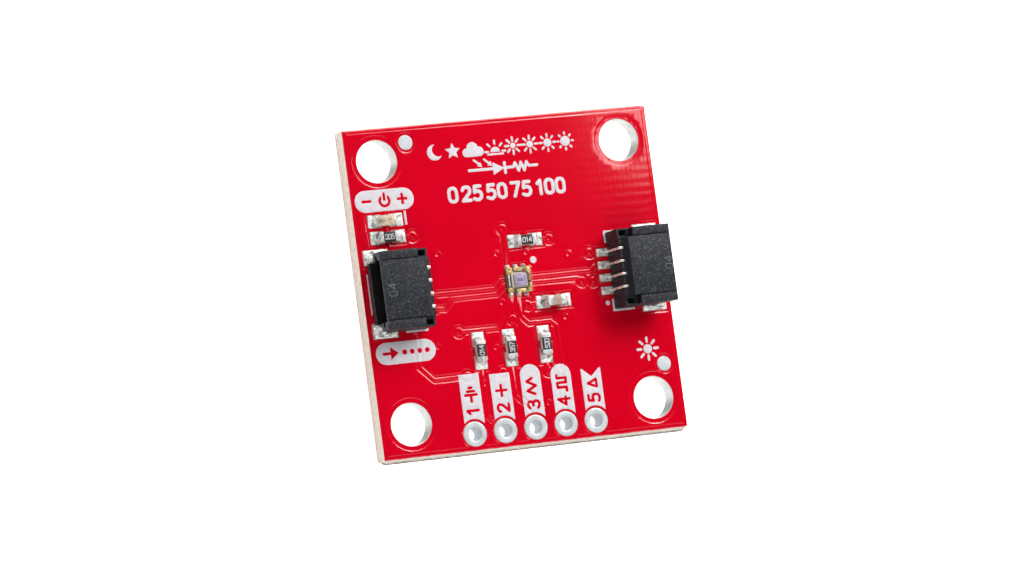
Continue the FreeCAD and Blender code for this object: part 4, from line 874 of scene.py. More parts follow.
# painted shade: wall faces whose normals point up and left (the lower right side of each hole) are darkened where shade
# falls
wt = M_WALL_SHADED.node_tree
wb = wt.nodes["Principled BSDF"]
wg = wt.nodes.new("ShaderNodeNewGeometry")
wd = wt.nodes.new("ShaderNodeVectorMath")
wd.operation = "DOT_PRODUCT"
wd.inputs[1].default_value = (-0.78, 0.62, 0.0)
wt.links.new(wg.outputs["Normal"], wd.inputs[0])
wm = wt.nodes.new("ShaderNodeMapRange")
wm.inputs["From Min"].default_value = 0.80
wm.inputs["From Max"].default_value = 0.99
wm.inputs["To Max"].default_value = 0.85
wt.links.new(wd.outputs["Value"], wm.inputs["Value"])
wx = wt.nodes.new("ShaderNodeMix")
wx.data_type = "RGBA"
wx.inputs[7].default_value = (0.10, 0.12, 0.11, 1)
wt.links.new(wm.outputs["Result"], wx.inputs[0])
wt.links.new(wb.inputs["Base Color"].links[0].from_socket, wx.inputs[6])
wt.links.new(wx.outputs[2], wb.inputs["Base Color"])
M_CERAMIC = material("alumina", [(0.3, (0.80, 0.80, 0.77)), (0.7, (0.88, 0.88, 0.86))], 3000, 0.5)
M_GLAZE = material("black_glaze", [(0.3, (0.012, 0.012, 0.013)), (0.7, (0.03, 0.03, 0.032))], 3000, 0.45,
                   spec=0.25, bump=0.000004, bump_scale=3000)
M_CODE = material("code_paint", [(0.3, (0.46, 0.46, 0.46)), (0.7, (0.60, 0.60, 0.60))], 6000, 0.5)
M_CAP = material("capacitor_ceramic", [(0.3, (0.36, 0.25, 0.19)), (0.7, (0.46, 0.34, 0.26))], 2600, 0.45,
                 bump=0.000006, bump_scale=5000)
M_RESIN = material("clear_resin", [(0.3, (0.52, 0.44, 0.28)), (0.7, (0.62, 0.54, 0.38))], 1200, 0.08, alpha=0.10,
                   spec=0.7)
M_GILT = material("gilt", [(0.36, (0.26, 0.20, 0.05)), (0.5, (0.64, 0.46, 0.15)), (0.64, (0.82, 0.66, 0.34))], 3600, 0.38,
                  metal=0.5, bump=0.00001, bump_scale=3000)
M_CREAM = material("cream_bed", [(0.3, (0.72, 0.62, 0.46)), (0.7, (0.86, 0.78, 0.64))], 2200, 0.5)
M_DIE = material("die", [(0.35, (0.30, 0.22, 0.46)), (0.65, (0.50, 0.42, 0.60))], 1500, 0.35, spec=0.3)
M_DIE_DARK = material("die_dark", [(0.3, (0.10, 0.11, 0.20)), (0.7, (0.20, 0.20, 0.32))], 4000, 0.35, spec=0.3)
M_DARK = material("dark_gap", [(0.3, (0.022, 0.016, 0.008)), (0.7, (0.06, 0.045, 0.025))], 3000, 0.5)
M_SILVER = material("silver_bar", [(0.3, (0.50, 0.48, 0.48)), (0.7, (0.72, 0.70, 0.70))], 3000, 0.4, metal=0.4)
M_LEDBASE = material("led_board", [(0.3, (0.80, 0.74, 0.64)), (0.7, (0.90, 0.86, 0.78))], 2600, 0.5)
M_LENS = material("led_resin", [(0.3, (0.84, 0.70, 0.52)), (0.7, (0.92, 0.82, 0.68))], 1500, 0.25, alpha=0.30,
                  bump=0.000004, bump_scale=2000)
M_GREEN = material("led_pad", [(0.3, (0.50, 0.50, 0.10)), (0.7, (0.62, 0.62, 0.22))], 3000, 0.3)
M_MARK = material("led_mark", [(0.3, (0.10, 0.08, 0.05)), (0.7, (0.18, 0.15, 0.10))], 3000, 0.4)
M_AMBER = material("led_chip", [(0.3, (0.70, 0.46, 0.20)), (0.7, (0.82, 0.60, 0.32))], 3000, 0.3)

# ------------------------------------------------------------------ board skins
ob = piece("mask_top_film", mask_v, mask_f, M_MASK, angle=55)
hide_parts("mask_top")
ob = piece("print_top", ink_v, ink_f, M_INK, angle=50)
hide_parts("legend_print")
for n in ("copper_top", "copper_bottom"):
    NODES[n].data.materials.clear()
    NODES[n].data.materials.append(M_COPPER)
NODES["mask_bottom"].data.materials.clear()
NODES["mask_bottom"].data.materials.append(M_MASK)


# laminate: scored and snapped edges front and back, routed ends, drilled holes
def lam_profile():
    """Outline of the cut across Y as (y, z, face) from the underside's front edge, counter-clockwise from +X."""
    b = 12.7
    front = [(-b, 0.066), (-b - 0.05, 0.22), (-b - 0.1, 0.36), (-b - 0.135, 0.49), (-b - 0.2, 0.54),
             (-b - 0.27, 0.57), (-b - 0.29, 0.68), (-b - 0.28, 0.8), (-b - 0.285, 0.92), (-b - 0.27, 0.98),
             (-b - 0.2, 1.04), (-b - 0.135, 1.1), (-b - 0.09, 1.24), (-b - 0.045, 1.4), (-b, 1.534)]
    back = [(b, 1.534), (b + 0.045, 1.4), (b + 0.09, 1.24), (b + 0.13, 1.1), (b + 0.15, 0.96),
            (b + 0.16, 0.8), (b + 0.15, 0.62), (b + 0.13, 0.49), (b + 0.09, 0.34), (b + 0.045, 0.2), (b, 0.066)]
    return front, back


front, back = lam_profile()
xs = np.linspace(-12.7, 12.7, 170)
verts, faces, index = [], [], []


def fibre(n):
    """Smooth random values along the edge with some sharp breaks."""
    v = rng.normal(0, 1, n)
    k = np.array([0.15, 0.7, 0.15])
    v = np.convolve(v, k, "same")
    return v


for prof, sgn in ((front, -1), (back, 1)):
    base = len(verts)
    m = len(prof)
    noise = np.stack([fibre(len(xs)) for _ in range(m)], 1)
    for i, x in enumerate(xs):
        end = min(1.0, (12.72 - abs(x)) / 0.25)
        for j, (y, z) in enumerate(prof):
            web = 0.45 < z < 1.15
            inner = 0 < j < m - 1
            amp = (0.022 if web else 0.008) if inner else 0.0
            dy = noise[i, j] * amp
            out = min(abs(y) + dy, 12.995 if sgn < 0 else 12.865)
            if abs(x) > 12.69:
                out = min(out, 12.7 + (out - 12.7) * 0.35)
            elif web and abs(x) > 12.4:
                out = 12.7 + (out - 12.7) * 0.75
            verts.append((x, sgn * max(out, 12.7), z + (noise[i, (j + 1) % m] * 0.012 if inner else 0)))
    for i in range(len(xs) - 1):
        for j in range(m - 1):
            a = base + i * m + j
            faces.append((a, a + m, a + m + 1, a + 1) if sgn < 0 else (a, a + m, a + m + 1, a + 1))
            index.append(1 if 0.5 < prof[j][1] < 1.06 and 0.5 < prof[j + 1][1] < 1.06 else 0)
    # the end caps come from the routed ends below
n_front, n_back = len(front), len(back)
bf, bb = 0, len(xs) * n_front
# routed ends: a fine grid from front profile to back profile
ends_y = np.linspace(0, 1, 150)
for side in (-1, 1):
    i = 0 if side < 0 else len(xs) - 1
    pf = [verts[bf + i * n_front + j] for j in range(n_front)]
    pb = [verts[bb + i * n_back + j] for j in range(n_back)]
    zs = np.linspace(0.066, 1.534, 12)
    fy = np.interp(zs, [p[2] for p in pf], [p[1] for p in pf])
    pbz = sorted(pb, key=lambda p: p[2])
    by = np.interp(zs, [p[2] for p in pbz], [p[1] for p in pbz])
    base = len(verts)
    for u in ends_y:
        for k, z in enumerate(zs):
            rough = abs(rng.normal(0, 0.006)) if 0 < k < 11 else 0.0
            verts.append((side * (12.7 - rough), fy[k] + (by[k] - fy[k]) * u, z))
            index_z = k
    for a in range(len(ends_y) - 1):
        for k in range(11):
            q = base + a * 12 + k
            faces.append((q, q + 1, q + 13, q + 12))
            index.append(0)
piece_edge = (verts, faces, index)
# top and bottom faces with their holes, and the hole walls
holes = Field(-13, -13, 13, 13, 0.05)
for x, y in HOLES:
    holes.add(s_disc(x, y, 1.651), m=1.0)
for x, y in PINS:
    holes.add(s_disc(x, y, 0.538), m=1.0)
rings = [(np.array([(x + r * math.cos(a), y + r * math.sin(a)) for a in np.linspace(0, 2 * math.pi, n + 1)[:-1]]), True)
         for (x, y), r, n in [(h, 1.651, 72) for h in HOLES] + [(p, 0.538, 32) for p in PINS]]
sq = (np.array([(-12.7, -12.7), (12.7, -12.7), (12.7, 12.7), (-12.7, 12.7)]), True)
for z, flip in ((1.534, False), (0.066, True)):
    v2, t2 = triangulate([sq] + rings, np.zeros((0, 2)),
                         lambda x, y: (np.abs(x) < 12.7) & (np.abs(y) < 12.7) & (holes.at(x, y) > 0))
    base = len(verts)
    verts += [(x, y, z) for x, y in v2]
    for f in t2.tolist():
        f = [base + q for q in f]
        faces.append(tuple(f[::-1] if flip else f))
        index.append(0)
for (x, y), r, n in [(h, 1.651, 72) for h in HOLES] + [(p, 0.538, 32) for p in PINS]:
    zs = np.linspace(0.066, 1.534, 9)
    base = len(verts)
    for k in range(n):
        a = 2 * math.pi * k / n
        for i, z in enumerate(zs):
            rr = r + (rng.uniform(0, 0.008) if 0 < i < 8 and r > 1 else 0)
            verts.append((x + rr * math.cos(a), y + rr * math.sin(a), z))
    for k in range(n):
        for i in range(8):
            a, b = base + k * 9 + i, base + ((k + 1) % n) * 9 + i
            faces.append((a, a + 1, b + 1, b))
            index.append(2)
ob = piece("laminate_plate", verts, faces, None, mats=[M_LAM, M_SNAP, M_WALL_SHADED], index=index, angle=40)
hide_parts("laminate")


# ------------------------------------------------------------------ header rings
for k, (x, y) in enumerate(PINS):
    b = Build()
    b.lathe([(0.508, 0.032), (0.94, 0.032), (0.94, 0.064), (0.537, 0.064), (0.537, 1.536), (0.94, 1.536), (0.945, 1.572),
             (0.925, 1.588), (0.88, 1.597), (0.8, 1.599), (0.7, 1.598), (0.62, 1.594), (0.56, 1.585), (0.525, 1.565),
             (0.510, 1.53), (0.508, 1.4), (0.508, 1.1), (0.508, 0.8), (0.508, 0.5), (0.508, 0.2)], x, y, n=64)
    ob = b.done("header_ring_%d" % (k + 1), [M_RING], slot="plating", angle=50)
    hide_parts("header_plating_%d" % (k + 1))


# ------------------------------------------------------------------ solder
def pad_solder(rect, risers, film=0.022, round_=0.05, h=0.045, turn=None, power=2.0):
    """A wetted pad: a thin film that climbs each riser (x0, y0, x1, y1, height) with a hollow slope."""
    x0, y0, x1, y1 = rect
    nx, ny = max(6, int((x1 - x0) / h)), max(6, int((y1 - y0) / h))
    xs_, ys_ = np.linspace(x0, x1, nx + 1), np.linspace(y0, y1, ny + 1)
    X, Y = np.meshgrid(xs_, ys_)
    dout = np.minimum(np.minimum(X - x0, x1 - X), np.minimum(Y - y0, y1 - Y))
    Z = 1.574 + (film + TOP - 1.6 + 0.02) * step(dout / round_)
    for rx0, ry0, rx1, ry1, rise in risers:
        dx = np.maximum(np.maximum(rx0 - X, X - rx1), 0)
        dy = np.maximum(np.maximum(ry0 - Y, Y - ry1), 0)
        din = np.hypot(dx, dy)
        share = np.clip(dout / (dout + din + 1e-6), 0, 1)
        Z = np.maximum(Z, 1.58 + rise * share ** power)
    # rounded plan corners
    cx, cy = (x0 + x1) / 2, (y0 + y1) / 2
    rc = 0.09
    ax, ay = np.abs(X - cx) - ((x1 - x0) / 2 - rc), np.abs(Y - cy) - ((y1 - y0) / 2 - rc)
    corner = (ax > 0) & (ay > 0)
    d = np.hypot(ax, ay)
    over = corner & (d > rc)
    X = np.where(over, cx + np.sign(X - cx) * ((x1 - x0) / 2 - rc + ax * rc / np.maximum(d, 1e-6)), X)
    Y = np.where(over, cy + np.sign(Y - cy) * ((y1 - y0) / 2 - rc + ay * rc / np.maximum(d, 1e-6)), Y)
    v = np.stack([X.ravel(), Y.ravel(), Z.ravel()], 1)
    n = nx + 1
    quads = [(j * n + i, j * n + i + 1, (j + 1) * n + i + 1, (j + 1) * n + i) for j in range(ny) for i in range(nx)]
    rim = ([i for i in range(n)] + [j * n + nx for j in range(1, ny + 1)] + [ny * n + i for i in range(nx - 1, -1, -1)]
           + [j * n for j in range(ny - 1, 0, -1)])
    verts = v.tolist()
    low = {}
    for q in rim:
        low[q] = len(verts)
        verts.append([v[q][0], v[q][1], 1.571])
    for a, b in zip(rim, rim[1:] + rim[:1]):
        quads.append((b, a, low[a], low[b]))
    return verts, quads


def tab_blobs(turn_deg):
    """Solder round each standing tab: a wavy bead along the foot and two horns up the tab's sides."""
    out = []
    for t in (-1, 1):
        paths = [([(12.16, 2.48, 1.66), (12.12, 2.62, 1.80), (12.05, 2.85, 1.76), (11.92, 3.02, 1.74), (11.7, 3.14, 1.76),
                   (11.4, 3.16, 1.80), (11.1, 3.12, 1.80), (10.8, 3.08, 1.76), (10.5, 3.06, 1.70)],
                  [0.07, 0.13, 0.15, 0.16, 0.15, 0.14, 0.14, 0.12, 0.06]),
                 ([(11.95, 2.69, 1.8), (11.75, 2.69, 2.0), (11.6, 2.69, 2.35), (11.5, 2.69, 2.55)], [0.15, 0.16, 0.14, 0.1]),
                 ([(11.98, 2.9, 1.78), (11.7, 2.98, 1.82), (11.42, 2.98, 1.95)], [0.12, 0.14, 0.1]),
                 ([(11.98, 2.48, 1.78), (11.7, 2.46, 1.84), (11.45, 2.46, 1.9)], [0.1, 0.1, 0.08])]
        for pts, rad in paths:
            out.append(([(x, t * y, z) for x, y, z in pts], [1.25 * q for q in rad], turn_deg))
    return out


def solder_piece(name, node, jobs, mat=None, extra=()):
    b = Build()
    for pts, rad, deg in extra:
        b.worm(pts, rad, turn=rot_about(0, 0, deg))
    for rect, risers, kw, turn in jobs:
        v, f = pad_solder(rect, risers, **kw)
        b.sheet(v, f, turn=turn)
    ob = b.done(name, [mat or M_SOLDER], slot="solder", angle=60)
    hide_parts(node)
    return ob


def chip_jobs(name, rise, width=0.8):
    x, y, way = CHIPS[name]
    out = []
    for s in (0, 180):
        turn = rot_about(x, y, s + (90 if way == "y" else 0))
        out.append(((0.34, -0.5, 1.44, 0.5), [(0.46, -width / 2 - 0.01, 0.81, width / 2 + 0.01, rise)], {}, turn))
    return out


solder_piece("solder_on_resistors", "solder_resistors",
             sum([chip_jobs("resistor_%d" % n, 0.40) for n in range(1, 6)], []))
solder_piece("solder_on_capacitor", "solder_capacitor", chip_jobs("capacitor", 0.55))
solder_piece("solder_on_led", "solder_led", chip_jobs("led", 0.22))
jobs = []
for k in (-1, 0, 1):
    for t in (0, 180):
        turn = rot_about(SENSOR_X + (k * 0.65), 0, t)
        jobs.append(((-0.17, 0.74, 0.17, 1.25), [(-0.12, 0.98, 0.12, 1.1, 0.24)], {"h": 0.03, "power": 1.2}, turn))
solder_piece("solder_on_sensor", "solder_sensor", jobs)
for side, s in (("left", 180), ("right", 0)):
    jobs = []
    for row in ROWS:
        turn = rot_about(0, 0, s)
        jobs.append(((6.99, row - 0.29, 8.4, row + 0.29), [(7.2, row - 0.09, 8.1, row + 0.09, 0.2)],
                     {"h": 0.035, "power": 1.5}, turn))
    for t in (-1, 1):
        c, d = sorted((t * 2.24, t * 3.41))
        e, f = sorted((t * 2.35, t * 3.07))
        risers = [(10.37, e, 12.17, f, 0.2)]
        jobs.append(((10.27, c, 12.29, d), risers, {"h": 0.05, "power": 1.6}, rot_about(0, 0, s)))
    solder_piece("solder_on_%s_socket" % side, "solder_%s_socket" % side, jobs, extra=tab_blobs(s))


# ------------------------------------------------------------------ chip parts
def shell_end(b, sgn, length, width, height, end, r=0.045, turn=None, mat=0):
    """One wrapped end of a chip: a rounded cap, open towards the middle."""
    c = bmesh.new()
    bmesh.ops.create_cube(c, size=1.0)
    x0, x1 = sorted((sgn * length / 2, sgn * (length / 2 - end)))
    for q in c.verts:
        q.co = Vector(((x0 + x1) / 2 + q.co.x * (x1 - x0), q.co.y * width, height / 2 + q.co.z * height))
    inner = [f for f in c.faces if all(abs(q.co.x - sgn * (length / 2 - end)) < 1e-6 for q in f.verts)]
    bmesh.ops.delete(c, geom=inner, context="FACES")
    edges = [e for e in c.edges if not e.is_boundary]
    bmesh.ops.bevel(c, geom=edges, offset=r, segments=3, profile=0.5, affect="EDGES", clamp_overlap=True)
    rim = [e for e in c.edges if e.is_boundary]
    out = bmesh.ops.extrude_edge_only(c, edges=rim)
    for q in [g for g in out["geom"] if isinstance(g, bmesh.types.BMVert)]:
        q.co.y *= 1 - 0.04 / width
        q.co.z = height / 2 + (q.co.z - height / 2) * (1 - 0.04 / height)
        q.co.x += sgn * 0.02
    b._take(c, mat, turn)


def chip_turn(name):
    x, y, way = CHIPS[name]
    return Matrix.Translation((x, y, TOP)) @ Matrix.Rotation(math.radians(0 if way == "x" else 90), 4, "Z")


CODES = {1: "205", 2: "014", 3: "014", 4: "357", 5: "520"}
for n in range(1, 6):
    name = "resistor_%d" % n
    T = chip_turn(name)
    b = Build()
    b.box(-0.78, 0.78, -0.385, 0.385, 0.021, 0.429, r=0.02, turn=T)
    ob = b.done(name + "_ceramic", [M_CERAMIC], slot="ceramic")
    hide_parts(name + "_body")
    b = Build()
    b.prism([(-0.48, -0.38), (0.48, -0.38), (0.48, 0.38), (-0.48, 0.38)], 0.426, 0.45, r=0.012, turn=T)
    ob = b.done(name + "_glaze", [M_GLAZE], slot="glaze")
    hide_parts(name + "_coat")
    b = Build()
    for s in (-1, 1):
        shell_end(b, s, 1.6, 0.8, 0.45, 0.32, turn=T)
    ob = b.done(name + "_terminals", [M_TIN], slot="terminal", angle=50)
    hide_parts(name + "_ends")
    # plain painted code
    f = Field(-0.6, -0.5, 0.6, 0.5, 0.012)
    for k, ch in enumerate(CODES[n]):
        for s in glyph(DIGITS[ch], 0.07, -0.365 + 0.255 * k, -0.19, 0.37, 0):
            f.add(s, m=0.1)
    v2, t2 = triangulate(lines_of(f, (0.0,), 0.003), np.zeros((0, 2)), lambda x, y: f.at(x, y) < 0)
    vv, ff = skirt(np.column_stack([v2, np.full(len(v2), 0.4535)]), t2, 0.4495)
    ob = piece(name + "_code", [tuple(T @ Vector(q)) for q in vv], ff, M_CODE, smooth=False)

T = chip_turn("capacitor")
b = Build()
b.box(-0.78, 0.78, -0.385, 0.385, 0.021, 0.779, r=0.04, turn=T)
ob = b.done("capacitor_block", [M_CAP], slot="capacitor")
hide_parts("capacitor_body")
b = Build()
for s in (-1, 1):
    shell_end(b, s, 1.6, 0.8, 0.8, 0.48, r=0.09, turn=T)
ob = b.done("capacitor_terminals", [M_TIN], slot="terminal", angle=50)
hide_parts("capacitor_ends")

# ------------------------------------------------------------------ LED
T = chip_turn("led")
b = Build()
b.box(-0.78, 0.78, -0.4, 0.4, 0.021, 0.229, r=0.012, turn=T)
ob = b.done("led_board", [M_LEDBASE], slot="led_base")
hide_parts("led_base")
b = Build()
for s in (-1, 1):
    x0, x1 = sorted((s * 0.8, s * 0.672))
    b.box(x0, x1, -0.4, 0.4, 0.0, 0.25, r=0.018, turn=T)
ob = b.done("led_terminals", [M_TIN], slot="terminal")
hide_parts("led_ends")
b = Build()
b.box(-0.1, 0.12, -0.1, 0.1, 0.231, 0.3, r=0.01, turn=T)
b.box(0.28, 0.54, 0.04, 0.2, 0.26, 0.4, r=0.01, turn=T)
b.box(0.26, 0.5, -0.2, -0.1, 0.26, 0.4, r=0.01, mat=1, turn=T)
for x in (-0.58, -0.36):
    b.box(x, x + 0.18, -0.1, 0.1, 0.26, 0.4, r=0.01, mat=2, turn=T)
ob = b.done("led_die", [M_AMBER, M_GREEN, M_MARK], slot="led_chip")
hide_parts("led_chip")
b = Build()
b.prism([(-0.66, 0.255), (0.66, 0.255), (0.60, 0.6), (-0.60, 0.6)], -0.4, 0.4, axis="y", r=0.05, seg=3, turn=T)
b.box(-0.65, 0.65, -0.385, 0.385, 0.231, 0.3, r=0.01, turn=T)
ob = b.done("led_window", [M_LENS], slot="led_lens")
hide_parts("led_lens")

# ------------------------------------------------------------------ light sensor
S = Matrix.Translation((SENSOR_X, 0, TOP))
b = Build()
b.box(-1, 1, -1, 1, 0.001, 0.85, r=0.035, seg=3, turn=S)
ob = b.done("sensor_block", [M_RESIN], slot="window")
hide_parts("sensor_window")
b = Build()
b.box(-0.975, 0.975, -0.975, 0.975, 0.012, 0.1, r=0.02, mat=2, turn=S)
plates = [[(-0.9, 0.97), (-0.9, 0.46), (-0.5, 0.46), (-0.5, 0.62), (-0.4, 0.74), (-0.4, 0.97)],
          [(-0.25, 0.97), (-0.22, 0.70), (0.48, 0.70), (0.52, 0.97)],
          [(0.62, 0.97), (0.62, 0.72), (0.7, 0.62), (0.84, 0.5), (0.84, -0.08), (0.965, -0.08), (0.965, 0.97)],
          [(-0.9, -0.97), (-0.5, -0.97), (-0.44, -0.74), (-0.56, -0.56), (-0.9, -0.52)],
          [(-0.18, -0.97), (0.55, -0.97), (0.6, -0.68), (-0.22, -0.68)],
          [(0.66, -0.97), (0.965, -0.97), (0.965, -0.26), (0.84, -0.26), (0.84, -0.56), (0.7, -0.7)]]
for k, p in enumerate(plates):
    b.prism(p, 0.06, 0.5 if k in (2, 5) else 0.2, r=0.018, turn=S)
for x0, x1, y0, y1 in ((-0.6, -0.36, 0.55, 0.66), (0.62, 0.82, 0.55, 0.66), (-0.6, -0.36, -0.64, -0.54),
                       (0.62, 0.84, -0.64, -0.54)):
    b.box(x0, x1, y0, y1, 0.06, 0.21, r=0.015, turn=S)
for k in (-0.65, 0, 0.65):
    for t in (-1, 1):
        y0, y1 = sorted((t * 0.8, t * 1.02))
        b.box(k - 0.13, k + 0.13, y0, y1, 0.005, 0.205, r=0.03, turn=S)
# pale bed round the chip
for x0, x1, y0, y1 in ((-0.52, -0.39, -0.56, 0.59), (0.6, 0.78, -0.56, 0.59), (-0.5, 0.78, 0.49, 0.59),
                       (-0.5, 0.78, -0.56, -0.49)):
    b.box(x0, x1, y0, y1, 0.1, 0.27, r=0.02, mat=1, turn=S)
b.box(0.86, 0.97, -0.24, -0.1, 0.06, 0.45, r=0.01, mat=2, turn=S)
b.box(-0.42, 0.64, -0.5, 0.5, 0.1, 0.219, r=0.01, mat=1, turn=S)
b.box(-0.78, -0.66, -0.44, 0.43, 0.06, 0.19, r=0.02, mat=3, turn=S)
ob = b.done("sensor_frame", [M_GILT, M_CREAM, M_DARK, M_SILVER], slot="leadframe")
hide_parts("sensor_leadframe")
b = Build()
b.box(-0.375, 0.66, -0.475, 0.475, 0.221, 0.42, r=0.02, turn=S)
b.prism([(-0.14, -0.14), (0.04, -0.1), (0.22, -0.14), (0.3, -0.16), (0.3, 0.16), (0.2, 0.13), (0.04, 0.1), (-0.14, 0.14)],
        0.4, 0.426, r=0.006, mat=1, turn=S)
for x0, x1, y0, y1 in ((-0.3, -0.26, -0.36, 0.36), (0.46, 0.52, -0.4, 0.4), (-0.12, -0.02, -0.36, -0.28)):
    b.box(x0, x1, y0, y1, 0.4, 0.424, r=0.006, mat=1, turn=S)
ob = b.done("sensor_chip", [M_DIE, M_DIE_DARK], slot="die")
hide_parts("sensor_die")


# ------------------------------------------------------------------ fiducials
b = Build()
for x, y in FIDUCIALS:
    b.lathe([(0.0, 1.572), (0.56, 1.572), (0.56, 1.58), (0.55, 1.590), (0.52, 1.594), (0.35, 1.596), (0.0, 1.597)],
            x, y, n=56, closed=False)
ob = b.done("fiducial_discs", [M_RING], slot="plating", angle=60)
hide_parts("fiducial_tin")

# ------------------------------------------------------------------ wire sockets
M_RAISED = material("raised_number", [(0.3, (0.07, 0.075, 0.085)), (0.7, (0.17, 0.18, 0.20))], 5000, 0.45, spec=0.3)
# painted shade: a darker copy of the housing plastic, used only on the right socket's rear slope behind the roof, where
# shade falls
M_REAR_SLOPE_SHADE = material("housing_rear_slope_painted_shade", [(0.3, (0.009, 0.010, 0.011)), (0.7, (0.022, 0.024, 0.027))], 6000, 0.6, spec=0.12)
SOCK = 12.07
for side, s in (("left", -1), ("right", 1)):
    src = NODES[side + "_socket_housing"]
    c = bmesh.new()
    c.from_mesh(src.data)
    bmesh.ops.remove_doubles(c, verts=c.verts, dist=2e-6)
    bmesh.ops.dissolve_limit(c, angle_limit=math.radians(1.0), verts=c.verts, edges=c.edges)
    for q in c.verts:
        # the ledge behind the roof is narrow and lies low
        u = q.co.x + SOCK * MM if s < 0 else SOCK * MM - q.co.x
        if u > 0.00385 and abs(q.co.z - 0.0042) < 2e-5:
            q.co.z -= 0.00012
            if u < 0.004:
                q.co.x += 0.00012 if s < 0 else -0.00012
        q.co.z = 0.0016 + (q.co.z - 0.0016) * 2.93 / 2.95
    sharp = [e for e in c.edges if len(e.link_faces) == 2 and e.calc_face_angle(0) > math.radians(15)]
    bmesh.ops.bevel(c, geom=sharp, offset=0.00005, segments=3, profile=0.5, affect="EDGES", clamp_overlap=False)
    bmesh.ops.scale(c, vec=(1 / MM, 1 / MM, 1 / MM), verts=c.verts)
    b = Build()
    b._take(c)
    for f in b.bm.faces:
        o = f.calc_center_median()
        u = (o.x + SOCK) if s < 0 else (SOCK - o.x)
        # faces inside the mouth take the darker copy of the plastic, as painted shade
        if 0.06 < u < 3.3 and abs(o.y) < 2.8 and 1.95 < o.z < 4.35:
            f.material_index = 1
        # the right socket's rear slope takes the darker copy of the plastic, as painted shade
        elif s > 0 and 3.5 < u < 3.95 and 4.1 < o.z < 4.52 and f.normal.z < 0.9:
            f.material_index = 3
    # small raised cavity number
    for k, ch in enumerate("04"):
        f = Field(-0.5, -0.5, 1.0, 1.0, 0.015)
        for q in glyph(DIGITS[ch], 0.055, 0.0, 0.0, 0.62, 0):
            f.add(q, m=0.1)
        v2, t2 = triangulate(lines_of(f, (0.0,), 0.004), np.zeros((0, 2)), lambda x, y: f.at(x, y) < 0)
        vv, ff = skirt(np.column_stack([v2, np.full(len(v2), 4.548)]), t2, 4.51)
        turn = Matrix.Translation((-11.05 if s < 0 else 11.95, -0.5 + 0.56 * k, 0)) @ Matrix.Rotation(math.radians(90), 4, "Z")
        b.sheet(vv.tolist(), ff, turn=turn, mat=2)
    ob = b.done(side + "_socket_shell", [M_SHELL, M_MOUTH_SHADE, M_RAISED, M_REAR_SLOPE_SHADE], slot="housing", angle=30)
    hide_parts(side + "_socket_housing")
    for i, row in enumerate(ROWS):
        T = Matrix.Translation((s * SOCK, row, TOP)) @ Matrix.Rotation(0 if s < 0 else math.pi, 4, "Z")
        b = Build()
        th = 0.2
        outline_xz = [(0.9, 2.31), (1.15, 2.25), (4.0, 2.25), (4.03, 2.22), (4.03, 0.6), (4.05, 0.3), (4.03, 0.06),
                      (4.1, 0.01), (4.87, 0.012), (4.87, 0.15), (4.42, 0.19), (4.29, 0.24), (4.24, 0.36), (4.24, 0.9),
                      (4.22, 1.5), (4.235, 2.33), (4.2, 2.41), (4.1, 2.45), (1.15, 2.45), (0.9, 2.39)]
        b.prism(outline_xz, -th / 2, th / 2, axis="y", r=0.035, seg=2, turn=T)
        ob = b.done("%s_contact_strip_%d" % (side, i + 1), [M_CONTACT], slot="contact", angle=50)
        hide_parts("%s_contact_%d" % (side, i + 1))
    T = Matrix.Translation((s * SOCK, 0, TOP)) @ Matrix.Rotation(0 if s < 0 else math.pi, 4, "Z")
    for t, word in ((-1, "lower"), (1, "upper")):
        neg = (word == "lower") == (side == "left")
        sg = -1 if neg else 1
        b = Build()
        y0, y1 = sorted((sg * 2.36, sg * 3.06))
        b.box(-0.1, 1.7, y0, y1, 0.0, 0.2, r=0.05, seg=3, turn=T)
        y0, y1 = sorted((sg * 2.6, sg * 2.78))
        b.box(0.13, 1.45, y0, y1, 0.05, 1.38, r=0.03, turn=T)
        ob = b.done("%s_tab_%s_plate" % (side, word), [M_TIN], slot="contact", angle=40)
        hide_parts("%s_tab_%s" % (side, word))

# ------------------------------------------------------------------ setting, light and camera
M_FLOOR = material("paper", [(0.3, (0.90, 0.90, 0.90)), (0.7, (0.93, 0.93, 0.93))], 30, 0.9, spec=0.1)
M_FLOOR.node_tree.nodes["Principled BSDF"].inputs["Emission Color"].default_value = (1, 1, 1, 1)
M_FLOOR.node_tree.nodes["Principled BSDF"].inputs["Emission Strength"].default_value = 0.8
me = bpy.data.meshes.new("floor")
me.from_pydata([(-3, -3, -1e-5), (3, -3, -1e-5), (3, 3, -1e-5), (-3, 3, -1e-5)], [], [(0, 1, 2, 3)])
floor = bpy.data.objects.new("floor", me)
bpy.context.scene.collection.objects.link(floor)
me.materials.append(M_FLOOR)

bpy.context.scene.view_settings.view_transform = "Standard"
world = bpy.data.worlds.new("studio")
bpy.context.scene.world = world
world.use_nodes = True
wn = world.node_tree
bg = wn.nodes["Background"]
bg.inputs["Strength"].default_value = 1.0
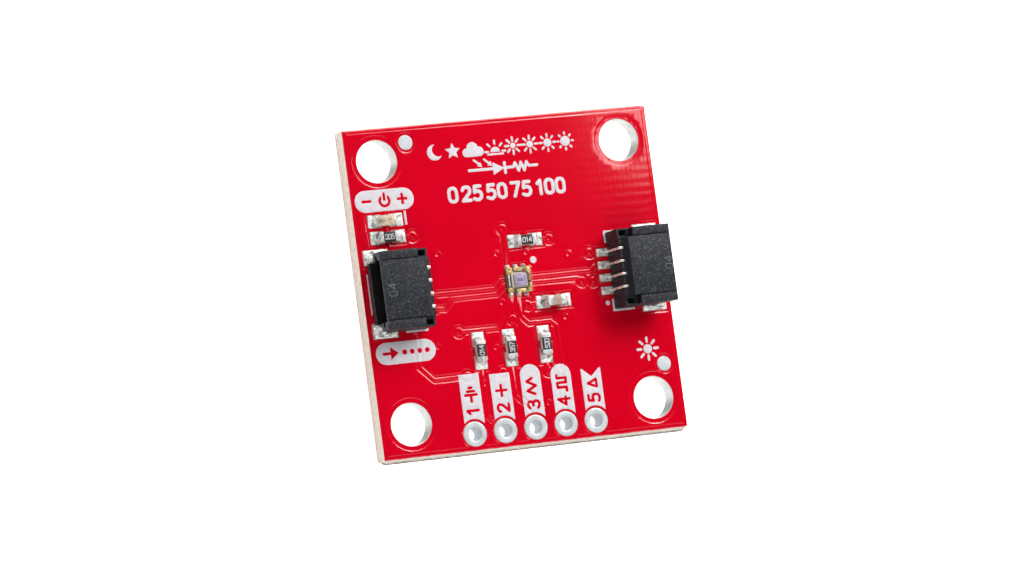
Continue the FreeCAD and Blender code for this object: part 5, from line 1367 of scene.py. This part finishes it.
# dim room with one dark flag overhead, so the glossy film keeps its depth
wtc = wn.nodes.new("ShaderNodeTexCoord")
dot = wn.nodes.new("ShaderNodeVectorMath")
dot.operation = "DOT_PRODUCT"
dot.inputs[1].default_value = (0.383, 0.078, 0.920)
wn.links.new(wtc.outputs["Generated"], dot.inputs[0])
wr = wn.nodes.new("ShaderNodeValToRGB")
wr.color_ramp.elements[0].position = 0.80
wr.color_ramp.elements[0].color = (0.16, 0.165, 0.17, 1)
wr.color_ramp.elements[1].position = 0.92
wr.color_ramp.elements[1].color = (0.006, 0.006, 0.006, 1)
wn.links.new(dot.outputs["Value"], wr.inputs["Fac"])
wn.links.new(wr.outputs["Color"], bg.inputs["Color"])

TARGET = Vector((-0.000588, -0.000308, 0.0016))


def softbox(name, az, el, dist, w, h, power, colour=(1, 1, 1), at=TARGET):
    a, e = math.radians(az), math.radians(el)
    d = Vector((math.cos(e) * math.cos(a), math.cos(e) * math.sin(a), math.sin(e)))
    data = bpy.data.lights.new(name, "AREA")
    data.shape = "RECTANGLE"
    data.size, data.size_y = w, h
    data.energy = power
    data.color = colour
    ob = bpy.data.objects.new(name, data)
    bpy.context.scene.collection.objects.link(ob)
    ob.location = at + d * dist
    ob.rotation_mode = "QUATERNION"
    ob.rotation_quaternion = (-d).to_track_quat("-Z", "Y")
    return ob


softbox("key", 50, 42, 0.55, 0.38, 0.28, 2.5)
softbox("spark", 50, 42, 0.54, 0.07, 0.05, 0.34)
softbox("fill_front", -80, 45, 0.7, 0.9, 0.6, 2.5)
softbox("fill_back", 112, 45, 0.7, 0.6, 0.5, 1.1)
softbox("fill_left", 185, 50, 0.6, 0.4, 0.3, 0.3)
# a small lamp beside the far corner, whose edge hazes the film there
softbox("sheen", 17, 61.0, 0.05, 0.0125, 0.0125, 0.0027, at=Vector((0.0127, 0.0127, 0.0016)))

cam_data = bpy.data.cameras.new("camera")
cam = bpy.data.objects.new("camera", cam_data)
bpy.context.scene.collection.objects.link(cam)
az, el, roll = math.radians(191.489), math.radians(67.072), math.radians(-7.65)
d = Vector((math.cos(el) * math.cos(az), math.cos(el) * math.sin(az), math.sin(el)))
r = Vector((0, 1, 0)).cross(d).normalized()
u = d.cross(r)
cr, sr = math.cos(roll), math.sin(roll)
right, up = cr * r + sr * u, -sr * r + cr * u
m = Matrix((right, up, d)).transposed().to_4x4()
m.translation = TARGET + d * 0.37282
cam.matrix_world = m
cam_data.sensor_fit = "HORIZONTAL"
cam_data.sensor_width = 36.0
cam_data.lens = 4833.8 * 36.0 / 1020
cam_data.clip_start, cam_data.clip_end = 0.01, 10
bpy.context.scene.camera = cam
